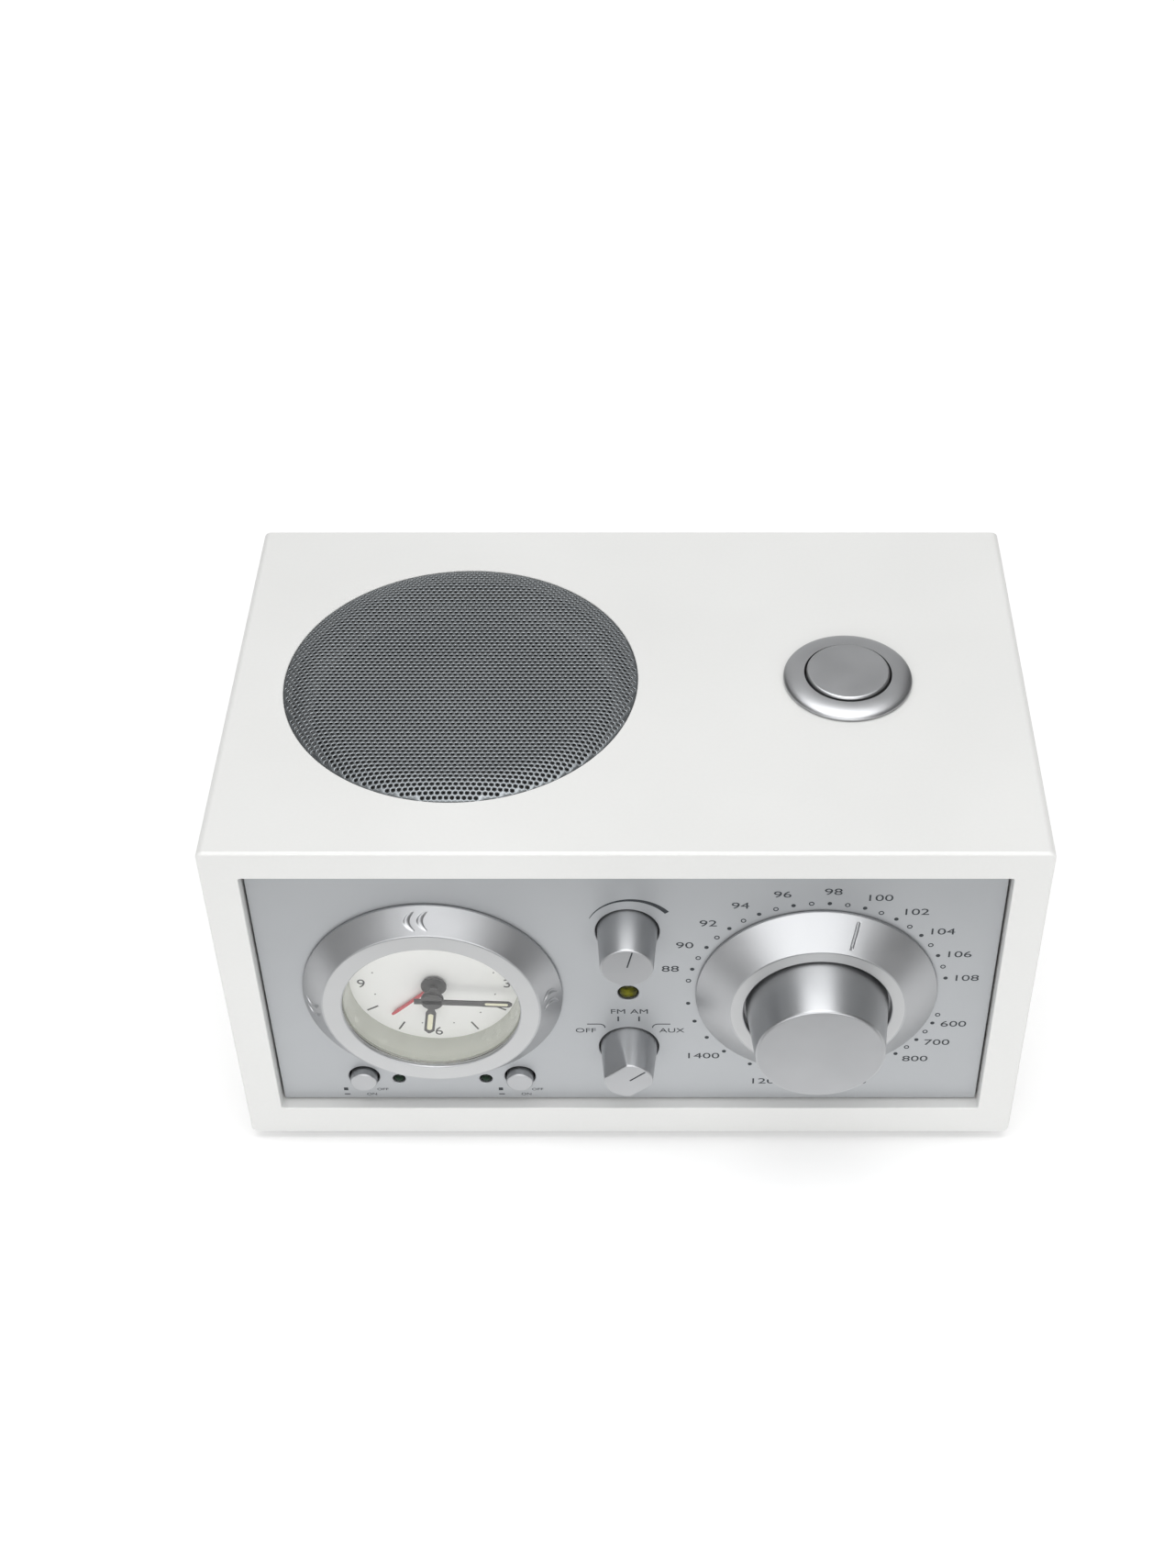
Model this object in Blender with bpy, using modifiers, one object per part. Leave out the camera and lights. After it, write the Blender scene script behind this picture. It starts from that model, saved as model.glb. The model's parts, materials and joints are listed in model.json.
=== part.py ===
"""A small table clock radio in a painted wooden cabinet, modelled as the pieces it comes apart into.

Metres, +Z up. The front faces -Y, and +X is to the right seen from the front. The origin lies on the
surface that the feet stand on, under the middle of the whole object's box. A depth is measured back
from the cabinet's front face, so it is negative for what stands ahead of it. A clock angle is measured
clockwise from straight up, seen from the front.
"""

import math

import bmesh
import bpy

MM = 0.001

# Clearances
SEAT_GAP = 0.3 * MM  # between pieces that rest on each other
RUN_GAP = 0.2 * MM  # round a shaft or pin that turns in its hole
SLIP_GAP = 0.6 * MM  # round a piece that moves freely inside an opening
EMBED = 1.0 * MM  # how far a piece that is one solid with another reaches into it

# Facets round a full turn
LARGE_STEPS = 32
MID_STEPS = 24
SMALL_STEPS = 16
TINY_STEPS = 12

# Cabinet and feet
CABINET_WIDTH = 212.8 * MM
CABINET_DEPTH = 131.2 * MM
CABINET_HEIGHT = 111.5 * MM
SIDE_WALL = 9.6 * MM
TOP_WALL = 9.1 * MM
BOTTOM_WALL = 10.8 * MM
LONG_EDGE_RADIUS = 2.0 * MM
BATTEN_WIDTH = 8.0 * MM
FRONT_BATTEN_DEPTH = 8.0 * MM
REAR_BATTEN_DEPTH = 12.0 * MM
FOOT_HEIGHT = 2.8 * MM
FOOT_RADIUS = 7.5 * MM
FOOT_EDGE = 0.5 * MM
FOOT_INSET = 14.0 * MM
FOOT_PEG_RADIUS = 2.0 * MM
FOOT_PEG_LENGTH = 5.0 * MM

# Front panel and the chassis plate behind it
PANEL_RECESS = 3.3 * MM
PANEL_THICKNESS = 1.5 * MM
PANEL_EDGE_GAP = 0.6 * MM
CHASSIS_THICKNESS = 3.0 * MM

# Clock
CLOCK_X = -51.7 * MM
CLOCK_HEIGHT = 56.0 * MM
BEZEL_BASE_RADIUS = 34.3 * MM
BEZEL_SLOPE_WIDTH = 5.6 * MM  # cone from the base in to the rim
BEZEL_LIP_WIDTH = 5.3 * MM  # flat front from the rim in to the lens
BEZEL_LIP_THICKNESS = 1.1 * MM
BEZEL_RISE = 6.3 * MM
BEZEL_EDGE = 0.6 * MM
BEZEL_FLANGE_WIDTH = 4.3 * MM  # base outside the skirt
BEZEL_SKIRT_WALL = 1.6 * MM
BEZEL_SKIRT_TAIL = 4.2 * MM  # how far the skirt reaches behind the chassis plate
LENS_THICKNESS = 1.5 * MM
LENS_OVERLAP = 0.6 * MM
DIAL_DRAFT = 0.6 * MM  # how much the cup narrows towards the dial face
DIAL_SINK = 3.9 * MM  # dial face behind the front panel's face
DIAL_THICKNESS = 1.0 * MM
DIAL_WALL = 0.5 * MM
DIAL_HOLE_RADIUS = 2.5 * MM
WELL_CLEARANCE = 2.5 * MM
WELL_WALL = 2.0 * MM
WELL_TAIL = 3.6 * MM  # well floor behind the ring gear
POST_RADIUS = 1.0 * MM
HAND_THICKNESS = 0.6 * MM
MINUTE_HAND_GAP = 0.55 * MM  # lens to minute hand
HOUR_HAND_PITCH = 1.0 * MM  # hour hand behind the minute hand
ALARM_HAND_LIFT = 1.3 * MM  # alarm hand's front ahead of the dial
MINUTE_HAND = {"hub": 2.9 * MM, "short": 1.5 * MM, "width": 1.6 * MM, "tail": 5.0 * MM}
HOUR_HAND = {"hub": 3.2 * MM, "short": 8.8 * MM, "width": 2.4 * MM, "tail": 5.0 * MM}
ALARM_HAND = {"hub": 3.3 * MM, "short": 8.8 * MM, "width": 0.9 * MM, "tail": 4.0 * MM}
MINUTE_ANGLE = math.radians(93.0)
HOUR_ANGLE = math.pi + MINUTE_ANGLE / 12
ALARM_ANGLE = math.radians(226.5)
ALARM_ARBOR_RADIUS = 1.2 * MM

# Tuning dial, its knob and the reduction gears
TUNING_X = 49.8 * MM
TUNING_HEIGHT = 56.0 * MM
RING_BASE_RADIUS = 31.9 * MM
RING_RIM_RADIUS = 23.2 * MM
RING_LIP_WIDTH = 3.75 * MM
RING_RISE = 6.85 * MM
RING_EDGE = 0.6 * MM
RING_RECESS = 3.05 * MM
KNOB_REACH = 18.0 * MM  # tuning knob's front ahead of the cabinet's front face
KNOB_TAPER = 2.05 * MM  # base radius less front radius
KNOB_EDGE = 0.7 * MM
KNOB_BORE_FRONT_WALL = 5.0 * MM
SLEEVE_RADIUS = 4.8 * MM
TUNING_SHAFT_RADIUS = 2.5 * MM
GEAR_MODULE = 0.7 * MM
SLEEVE_TEETH = 28
PINION_TEETH = 12
IDLER_LARGE_TEETH = 30
IDLER_SMALL_TEETH = 14
CAPACITOR_TEETH = 28
GEAR_FACE = 3.0 * MM
GEAR_EXTRA_FACE = 0.4 * MM  # how much wider the driving tooth is on each side
GEAR_SPACING = 3.0 * MM  # chassis to first gear row
GEAR_ROW_GAP = 1.8 * MM
IDLER_ARBOR_RADIUS = 1.5 * MM
IDLER_DIRECTION = 0.0
CAPACITOR_DIRECTION = math.radians(225.0)
CAPACITOR_SHAFT_RADIUS = 1.5 * MM
CAPACITOR_SIDE = 22.0 * MM
CAPACITOR_DEPTH = 14.0 * MM
CAPACITOR_BORE_DEPTH = 7.0 * MM
BRIDGE_THICKNESS = 2.0 * MM
BRIDGE_MARGIN = 14.0 * MM
PILLAR_RADIUS = 2.5 * MM
RING_GEAR_RIM = 3.0 * MM  # ring gear outside its pitch circle
RING_GEAR_TEETH = 45
ALARM_PINION_TEETH = 10
ALARM_PINION_DIRECTION = math.radians(270.0)
PRESSURE_ANGLE = math.radians(20.0)
ADDENDUM = 0.75
DEDENDUM = 1.1
BACKLASH = 0.14

# The two small rotary controls
VOLUME = {"height": 79.6 * MM, "base": 7.9 * MM, "front": 6.8 * MM, "reach": 9.4 * MM}
SOURCE = {"height": 33.5 * MM, "base": 7.75 * MM, "front": 6.5 * MM, "reach": 8.7 * MM}
CONTROL_HOLE_GAP = 0.4 * MM
CONTROL_SEAT = 0.9 * MM  # knob back ahead of the chassis plate
CONTROL_EDGE = 0.4 * MM
SOURCE_TURN = math.radians(49.0)
SOURCE_FLAT_FRONT = 5.2 * MM  # flats from the axis at the knob's front
SOURCE_FLAT_BACK = 7.7 * MM  # flats from the axis at the panel
CONTROL_SHAFT_RADIUS = 3.0 * MM
CONTROL_SHAFT_GRIP = 9.0 * MM
CONTROL_BUSH_RADIUS = 4.5 * MM
CONTROL_BUSH_FRONT = 0.5 * MM
CONTROL_BODY_RADIUS = 8.5 * MM
CONTROL_BODY_DEPTH = 9.0 * MM
CONTROL_BORE_DEPTH = 5.0 * MM

# Push buttons and indicator lamps
BUTTON_SPREAD = 21.5 * MM  # each side of the clock's axis
BUTTON_HEIGHT = 20.8 * MM
BUTTON_RADIUS = 3.65 * MM
BUTTON_PROUD = 2.5 * MM
BUTTON_EDGE = 0.4 * MM
BUTTON_TRAVEL = 2.0 * MM
BUTTON_STEM_RADIUS = 1.6 * MM
BUTTON_SWITCH_SIDE = 7.0 * MM
BUTTON_SWITCH_DEPTH = 11.6 * MM
BUTTON_STEM_ENTRY = 3.6 * MM
LED_SPREAD = 12.0 * MM
LED_HEIGHT = 19.7 * MM
LED_RADIUS = 1.6 * MM
POWER_LED_HEIGHT = 55.7 * MM
POWER_LED_RADIUS = 2.65 * MM
LED_PROUD = 0.15 * MM
LED_TAIL = 3.0 * MM

# Speaker
SPEAKER_X = -44.9 * MM
GRILLE_RADIUS = 47.3 * MM
GRILLE_THICKNESS = 0.8 * MM
GRILLE_CROWN = 1.8 * MM  # flat middle above the cabinet's top
GRILLE_ROLL_WIDTH = 9.3 * MM  # rolled-down rim outside the flat middle
GRILLE_EDGE_SINK = 0.3 * MM
GRILLE_LEDGE_WIDTH = 2.3 * MM
GRILLE_LEDGE_DEPTH = 2.3 * MM
GRILLE_ARC_POINTS = 5
FLANGE_OVERLAP = 4.7 * MM  # speaker flange outside the hole it hangs under
FLANGE_WIDTH = 9.5 * MM
SURROUND_WIDTH = 7.0 * MM
FLANGE_THICKNESS = 2.5 * MM
BASKET_WALL = 1.5 * MM
BASKET_DEPTH = 31.0 * MM
BASKET_BASE_RADIUS = 25.0 * MM
BASKET_BASE_THICKNESS = 2.5 * MM
MAGNET_RADIUS = 26.0 * MM
MAGNET_HEIGHT = 15.0 * MM
COIL_RADIUS = 10.3 * MM
COIL_WALL = 0.7 * MM
COIL_GAP = 0.6 * MM
COIL_GROOVE_DEPTH = 10.0 * MM
COIL_ENTRY = 7.0 * MM
CONE_SINK = 3.6 * MM  # cone edge below the flange's top
CONE_DEPTH = 20.0 * MM
CONE_WALL = 0.8 * MM
DUST_CAP_RISE = 5.0 * MM
SURROUND_WALL = 0.6 * MM
SURROUND_ARC_POINTS = 6

# Snooze button
SNOOZE_X = 58.7 * MM
SNOOZE_RING_RADIUS = 17.25 * MM
SNOOZE_RING_RISE = 2.4 * MM
SNOOZE_RING_EDGE = 0.4 * MM
SNOOZE_RING_ARC_POINTS = 5
SNOOZE_BORE_RADIUS = 11.75 * MM
SNOOZE_SLEEVE_WALL = 1.85 * MM
SNOOZE_SLEEVE_TAIL = 4.0 * MM  # sleeve below the cabinet's ceiling
SNOOZE_BUTTON_PROUD = 0.9 * MM  # button top above the ring
SNOOZE_BUTTON_EDGE = 0.7 * MM
SNOOZE_CAP_THICKNESS = 2.0 * MM
SNOOZE_CAP_WALL = 1.7 * MM
SNOOZE_CAP_SKIRT = 7.3 * MM
SNOOZE_TRAVEL = 2.0 * MM
SNOOZE_POST_RADIUS = 2.5 * MM
SNOOZE_SWITCH_THICKNESS = 3.0 * MM
SNOOZE_BOSS_HEIGHT = 3.0 * MM
SPRING_RADIUS = 5.5 * MM
SPRING_WIRE = 0.4 * MM
SPRING_TURNS = 6
SPRING_POINTS_PER_TURN = 10

# Bass port, through the bottom
PORT_X = 24.0 * MM
PORT_DEPTH = 80.0 * MM
PORT_RADIUS = 17.0 * MM
PORT_WALL = 1.8 * MM
PORT_LENGTH = 46.0 * MM
PORT_SINK = 0.6 * MM
PORT_FLANGE_RADIUS = 21.0 * MM
PORT_FLANGE_THICKNESS = 2.0 * MM

# Back panel and what is carried on it
BACK_RECESS = 3.0 * MM
BACK_THICKNESS = 2.5 * MM
BACK_SCREW_EDGE = 11.5 * MM  # screws from the panel's top and bottom
SCREW_RADIUS = 1.4 * MM
SCREW_HEAD_RADIUS = 2.8 * MM
SCREW_HEAD_HEIGHT = 1.5 * MM
SCREW_LENGTH = 12.0 * MM
BOARD_WIDTH = 170.0 * MM
BOARD_HEIGHT = 70.0 * MM
BOARD_LIFT = 9.5 * MM  # board above the cabinet's floor
BOARD_THICKNESS = 1.6 * MM
BOARD_STANDOFF = 18.0 * MM  # board to back panel
BOARD_PILLAR_INSET = 5.0 * MM
BOARD_PILLAR_RADIUS = 3.0 * MM
SMALL_JACK = {"body": 5.0 * MM, "nose": 3.0 * MM, "bore": 1.8 * MM, "depth": 14.0 * MM, "reach": 0.8 * MM}
ANTENNA_JACK = {"body": 6.5 * MM, "nose": 4.7 * MM, "bore": 0.9 * MM, "depth": 8.0 * MM, "reach": 2.6 * MM}
JACK_HEIGHT = 40.0 * MM
HEADPHONE_X = 4.0 * MM
AUX_X = -16.0 * MM
ANTENNA_X = -52.0 * MM
INLET_X = 56.0 * MM
INLET_HEIGHT = 36.0 * MM
INLET_BODY = (22.0 * MM, 15.0 * MM)
INLET_COLLAR = (19.0 * MM, 12.0 * MM)
INLET_SOCKET = (15.0 * MM, 8.0 * MM)
INLET_SOCKET_DEPTH = 14.0 * MM
INLET_PIN_RADIUS = 1.2 * MM
INLET_PIN_SPREAD = 4.3 * MM
INLET_PIN_SINK = 2.0 * MM
FERRITE_RADIUS = 4.0 * MM
FERRITE_LENGTH = 90.0 * MM
FERRITE_X = 40.0 * MM
FERRITE_STANDOFF = 4.0 * MM  # rod to board
FERRITE_DROP = 2.0 * MM  # rod below the board's top edge
CRADLE_WIDTH = 6.0 * MM
CRADLE_HEIGHT = 3.7 * MM
CRADLE_SPREAD = 30.0 * MM
TRANSFORMER_X = 68.0 * MM
TRANSFORMER_DEPTH = 84.0 * MM
TRANSFORMER_CORE = (40.0 * MM, 18.0 * MM, 36.0 * MM)
TRANSFORMER_COIL = (26.0 * MM, 32.0 * MM, 24.0 * MM)

# Places worked out from the sizes above
FRONT = KNOB_REACH - (CABINET_DEPTH + KNOB_REACH) / 2
TOP = FOOT_HEIGHT + CABINET_HEIGHT
FLOOR = FOOT_HEIGHT + BOTTOM_WALL
CEILING = TOP - TOP_WALL
INNER_HALF_WIDTH = CABINET_WIDTH / 2 - SIDE_WALL
OPENING_MIDDLE = (FLOOR + CEILING) / 2
MID_DEPTH = CABINET_DEPTH / 2

PANEL_BACK = PANEL_RECESS + PANEL_THICKNESS
CHASSIS_FRONT = PANEL_BACK + SEAT_GAP
CHASSIS_BACK = CHASSIS_FRONT + CHASSIS_THICKNESS
BEHIND_CHASSIS = CHASSIS_BACK + SEAT_GAP
PANEL_TOUCH = PANEL_RECESS - SEAT_GAP  # back of what lies against the panel's face

CLOCK_Z = FOOT_HEIGHT + CLOCK_HEIGHT
BEZEL_FRONT = PANEL_RECESS - BEZEL_RISE
BEZEL_SKIRT_RADIUS = BEZEL_BASE_RADIUS - BEZEL_FLANGE_WIDTH
BEZEL_RIM_RADIUS = BEZEL_BASE_RADIUS - BEZEL_SLOPE_WIDTH
BEZEL_LIP_RADIUS = BEZEL_RIM_RADIUS - BEZEL_LIP_WIDTH
LENS_FRONT = BEZEL_FRONT + BEZEL_LIP_THICKNESS + SEAT_GAP
LENS_BACK = LENS_FRONT + LENS_THICKNESS
LENS_RADIUS = BEZEL_LIP_RADIUS + LENS_OVERLAP
LENS_SEAT_RADIUS = LENS_RADIUS + SEAT_GAP
BEZEL_WEB_BACK = PANEL_TOUCH + BEZEL_EDGE
SKIRT_BACK = CHASSIS_BACK + BEZEL_SKIRT_TAIL
DIAL_CUP_RADIUS = LENS_SEAT_RADIUS - SLIP_GAP
DIAL_CUP_FRONT = LENS_BACK + SEAT_GAP
DIAL_RADIUS = DIAL_CUP_RADIUS - DIAL_WALL - DIAL_DRAFT
DIAL_FACE = PANEL_RECESS + DIAL_SINK
DIAL_BACK = DIAL_FACE + DIAL_THICKNESS
RING_GEAR_FRONT = SKIRT_BACK + SEAT_GAP
RING_GEAR_BACK = RING_GEAR_FRONT + GEAR_FACE
WELL_RADIUS = BEZEL_SKIRT_RADIUS + WELL_CLEARANCE
WELL_FLOOR = RING_GEAR_BACK + WELL_TAIL
MINUTE_HAND_DEPTH = LENS_BACK + MINUTE_HAND_GAP
HOUR_HAND_DEPTH = MINUTE_HAND_DEPTH + HOUR_HAND_PITCH
ALARM_HAND_DEPTH = DIAL_FACE - ALARM_HAND_LIFT
POST_FRONT = MINUTE_HAND_DEPTH + HAND_THICKNESS + SEAT_GAP
RING_GEAR_MODULE = 2 * (BEZEL_SKIRT_RADIUS - RING_GEAR_RIM) / RING_GEAR_TEETH
ALARM_PINION_DISTANCE = RING_GEAR_MODULE * (RING_GEAR_TEETH - ALARM_PINION_TEETH) / 2
ALARM_PINION_TIP = RING_GEAR_MODULE * (ALARM_PINION_TEETH / 2 + ADDENDUM)
MOVEMENT_SIDE = 2 * (ALARM_PINION_DISTANCE - ALARM_PINION_TIP - SLIP_GAP)
ALARM_PINION_X = CLOCK_X + ALARM_PINION_DISTANCE * math.cos(ALARM_PINION_DIRECTION)
ALARM_PINION_Z = CLOCK_Z + ALARM_PINION_DISTANCE * math.sin(ALARM_PINION_DIRECTION)

TUNING_Z = FOOT_HEIGHT + TUNING_HEIGHT
RING_FRONT = PANEL_RECESS - RING_RISE
RING_FLOOR = RING_FRONT + RING_RECESS
RING_BORE_RADIUS = RING_RIM_RADIUS - RING_LIP_WIDTH
KNOB_BACK = RING_FLOOR - SEAT_GAP
KNOB_BASE_RADIUS = RING_BORE_RADIUS - SLIP_GAP
KNOB_FRONT_RADIUS = KNOB_BASE_RADIUS - KNOB_TAPER
SLEEVE_BORE = TUNING_SHAFT_RADIUS + RUN_GAP
FIRST_ROW = CHASSIS_BACK + GEAR_SPACING
SECOND_ROW = FIRST_ROW + GEAR_FACE + GEAR_ROW_GAP
BRIDGE_FRONT = SECOND_ROW + GEAR_FACE + GEAR_ROW_GAP
BRIDGE_BACK = BRIDGE_FRONT + BRIDGE_THICKNESS
IDLER_DISTANCE = GEAR_MODULE * (PINION_TEETH + IDLER_LARGE_TEETH) / 2
IDLER_X = TUNING_X + IDLER_DISTANCE * math.cos(IDLER_DIRECTION)
IDLER_Z = TUNING_Z + IDLER_DISTANCE * math.sin(IDLER_DIRECTION)
CAPACITOR_DISTANCE = GEAR_MODULE * (SLEEVE_TEETH + CAPACITOR_TEETH) / 2
CAPACITOR_X = TUNING_X + CAPACITOR_DISTANCE * math.cos(CAPACITOR_DIRECTION)
CAPACITOR_Z = TUNING_Z + CAPACITOR_DISTANCE * math.sin(CAPACITOR_DIRECTION)
BRIDGE_LEFT = CAPACITOR_X - BRIDGE_MARGIN
BRIDGE_RIGHT = IDLER_X + BRIDGE_MARGIN
BRIDGE_LOW = CAPACITOR_Z - BRIDGE_MARGIN
BRIDGE_HIGH = TUNING_Z + BRIDGE_MARGIN + PILLAR_RADIUS

BUTTON_Z = FOOT_HEIGHT + BUTTON_HEIGHT
BUTTON_HOLE_RADIUS = BUTTON_RADIUS + SLIP_GAP
LED_Z = FOOT_HEIGHT + LED_HEIGHT
POWER_LED_Z = FOOT_HEIGHT + POWER_LED_HEIGHT

SPEAKER_HOLE_RADIUS = GRILLE_RADIUS + SEAT_GAP - GRILLE_LEDGE_WIDTH
GRILLE_FLAT_RADIUS = GRILLE_RADIUS - GRILLE_ROLL_WIDTH
FLANGE_RADIUS = SPEAKER_HOLE_RADIUS + FLANGE_OVERLAP
FLANGE_BORE = FLANGE_RADIUS - FLANGE_WIDTH
CONE_RADIUS = FLANGE_BORE - SURROUND_WIDTH
FLANGE_TOP = CEILING - SEAT_GAP
BASKET_FLOOR = FLANGE_TOP - BASKET_DEPTH
BASKET_BOTTOM = BASKET_FLOOR - BASKET_BASE_THICKNESS
MAGNET_TOP = BASKET_BOTTOM - SEAT_GAP
CONE_EDGE_Z = FLANGE_TOP - CONE_SINK
CONE_THROAT_Z = CONE_EDGE_Z - CONE_DEPTH

SNOOZE_HOLE_RADIUS = SNOOZE_BORE_RADIUS + SNOOZE_SLEEVE_WALL + SEAT_GAP
SNOOZE_BUTTON_RADIUS = SNOOZE_BORE_RADIUS - SLIP_GAP
SNOOZE_BUTTON_TOP = TOP + SNOOZE_RING_RISE + SNOOZE_BUTTON_PROUD
SNOOZE_CAP_UNDERSIDE = SNOOZE_BUTTON_TOP - SNOOZE_CAP_THICKNESS
SNOOZE_SLEEVE_BOTTOM = CEILING - SNOOZE_SLEEVE_TAIL
SNOOZE_SWITCH_TOP = SNOOZE_SLEEVE_BOTTOM - SEAT_GAP
SNOOZE_BOSS_TOP = SNOOZE_SWITCH_TOP + SNOOZE_BOSS_HEIGHT

BACK_FACE = CABINET_DEPTH - BACK_RECESS
BACK_INSIDE = BACK_FACE - BACK_THICKNESS
REAR_BATTEN_BACK = BACK_INSIDE - SEAT_GAP
SCREW_X = INNER_HALF_WIDTH - BATTEN_WIDTH / 2
SCREW_HEIGHTS = (FLOOR + BACK_SCREW_EDGE, CEILING - BACK_SCREW_EDGE)
SCREW_HOLE_RADIUS = SCREW_RADIUS + SEAT_GAP
BOARD_BACK = BACK_INSIDE - BOARD_STANDOFF
BOARD_FRONT = BOARD_BACK - BOARD_THICKNESS
BOARD_LOW = FLOOR + BOARD_LIFT
BOARD_HIGH = BOARD_LOW + BOARD_HEIGHT
BEHIND_BOARD = BOARD_BACK + SEAT_GAP
FERRITE_DEPTH = BOARD_FRONT - FERRITE_STANDOFF - FERRITE_RADIUS
FERRITE_Z = BOARD_HIGH - FERRITE_DROP - FERRITE_RADIUS

FINISHES = {
    "white_paint": ((0.86, 0.86, 0.84), 0.35, 0.0),
    "silver_panel": ((0.72, 0.73, 0.75), 0.35, 0.6),
    "satin_aluminium": ((0.78, 0.78, 0.79), 0.30, 0.9),
    "dark_steel": ((0.30, 0.30, 0.31), 0.40, 0.8),
    "steel": ((0.62, 0.62, 0.63), 0.35, 0.9),
    "brass": ((0.75, 0.58, 0.28), 0.35, 0.9),
    "white_nylon": ((0.85, 0.84, 0.80), 0.45, 0.0),
    "clear_plastic": ((0.90, 0.90, 0.86), 0.05, 0.0),
    "dial_white": ((0.88, 0.87, 0.82), 0.50, 0.0),
    "hand_grey": ((0.10, 0.10, 0.10), 0.40, 0.0),
    "hand_red": ((0.70, 0.10, 0.12), 0.40, 0.0),
    "black_plastic": ((0.04, 0.04, 0.04), 0.50, 0.0),
    "rubber": ((0.05, 0.05, 0.05), 0.80, 0.0),
    "paper": ((0.09, 0.09, 0.09), 0.85, 0.0),
    "ferrite": ((0.13, 0.12, 0.12), 0.60, 0.0),
    "board_green": ((0.05, 0.22, 0.10), 0.50, 0.0),
    "lamp_green": ((0.10, 0.22, 0.10), 0.20, 0.0),
    "lamp_olive": ((0.40, 0.42, 0.08), 0.20, 0.0),
}

parts = bpy.data.collections.new("clock_radio")
cutters = bpy.data.collections.new("cutters")
whole = bpy.data.objects.new("clock_radio_origin", None)


def clear_scene():
    for obj in list(bpy.data.objects):
        if obj != whole:
            bpy.data.objects.remove(obj, do_unlink=True)
    bpy.context.scene.collection.children.link(parts)
    bpy.context.scene.collection.children.link(cutters)
    parts.objects.link(whole)


def finish_material(name):
    """The named finish as a Principled material, made once."""
    if name in bpy.data.materials:
        return bpy.data.materials[name]
    colour, roughness, metallic = FINISHES[name]
    material = bpy.data.materials.new(name)
    material.use_nodes = True
    shader = material.node_tree.nodes["Principled BSDF"]
    shader.inputs["Base Color"].default_value = (*colour, 1.0)
    shader.inputs["Roughness"].default_value = roughness
    shader.inputs["Metallic"].default_value = metallic
    return material


def place(obj, finish, location=(0.0, 0.0, 0.0), rotation=(0.0, 0.0, 0.0)):
    """Puts an object among the parts, or among the cutters when it has no finish."""
    obj.location = location
    obj.rotation_euler = rotation
    if finish is None:
        cutters.objects.link(obj)
        obj.hide_render = True
        obj.display_type = "WIRE"
        return obj
    parts.objects.link(obj)
    obj.parent = whole
    obj.data.materials.append(finish_material(finish))
    return obj


def join(target, tools, operation):
    for tool in tools:
        modifier = target.modifiers.new(tool.name, "BOOLEAN")
        modifier.operation = operation
        modifier.object = tool
    return target


def cut(target, *tools):
    return join(target, tools, "DIFFERENCE")


def fuse(target, *tools):
    return join(target, tools, "UNION")


def turned(name, profile, steps, closed):
    """A profile of (radius, height) points, run down its outer side, turned about local Z."""
    mesh = bpy.data.meshes.new(name)
    count = len(profile)
    edges = [(i, i + 1) for i in range(count - 1)]
    if closed:
        edges.append((count - 1, 0))
    mesh.from_pydata([(radius, 0.0, height) for radius, height in profile], edges, [])
    obj = bpy.data.objects.new(name, mesh)
    screw = obj.modifiers.new("turn", "SCREW")
    screw.axis = "Z"
    screw.steps = steps
    screw.render_steps = steps
    screw.use_merge_vertices = True
    screw.merge_threshold = 0.001 * MM
    return obj


def turned_front(name, finish, x, z, profile, steps, closed=False):
    """A turned piece on a front-to-back axis, from (radius, depth) points, front first."""
    obj = turned(name, [(radius, -depth) for radius, depth in profile], steps, closed)
    return place(obj, finish, (x, FRONT, z), (math.pi / 2, 0.0, 0.0))


def turned_up(name, finish, x, depth, profile, steps, closed=False):
    """A turned piece on an upright axis, from (radius, z) points, top first."""
    return place(turned(name, profile, steps, closed), finish, (x, FRONT + depth, 0.0))


def box(name, finish, low, high):
    """A block between two corners, each (x, depth, z)."""
    mesh = bpy.data.meshes.new(name)
    shape = bmesh.new()
    bmesh.ops.create_cube(shape, size=1.0)
    bmesh.ops.scale(shape, vec=[b - a for a, b in zip(low, high)], verts=shape.verts)
    shape.to_mesh(mesh)
    shape.free()
    middle = [(a + b) / 2 for a, b in zip(low, high)]
    return place(bpy.data.objects.new(name, mesh), finish, (middle[0], FRONT + middle[1], middle[2]))


def rod_front(name, finish, x, z, radius, start, end, steps):
    """A round bar on a front-to-back axis, between two depths."""
    return turned_front(name, finish, x, z, [(0.0, start), (radius, start), (radius, end), (0.0, end)], steps)


def rod_up(name, finish, x, depth, radius, low, high, steps):
    """A round bar on an upright axis, between two heights."""
    return turned_up(name, finish, x, depth, [(0.0, high), (radius, high), (radius, low), (0.0, low)], steps)


def circle(radius, steps, x=0.0, y=0.0):
    turns = [2 * math.pi * i / steps for i in range(steps)]
    return [(x + radius * math.cos(a), y + radius * math.sin(a)) for a in turns]


def rectangle(width, height, x=0.0, y=0.0, corner=0.0, corner_points=4):
    """A rectangle about (x, y), its corners rounded when a corner radius is given."""
    points = []
    for quarter, (side_x, side_y) in enumerate(((1, 1), (-1, 1), (-1, -1), (1, -1))):
        centre_x = x + side_x * (width / 2 - corner)
        centre_y = y + side_y * (height / 2 - corner)
        for i in range(corner_points if corner else 1):
            a = math.pi / 2 * (quarter + (i / (corner_points - 1) if corner else 0))
            points.append((centre_x + corner * math.cos(a), centre_y + corner * math.sin(a)))
    return points


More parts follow.
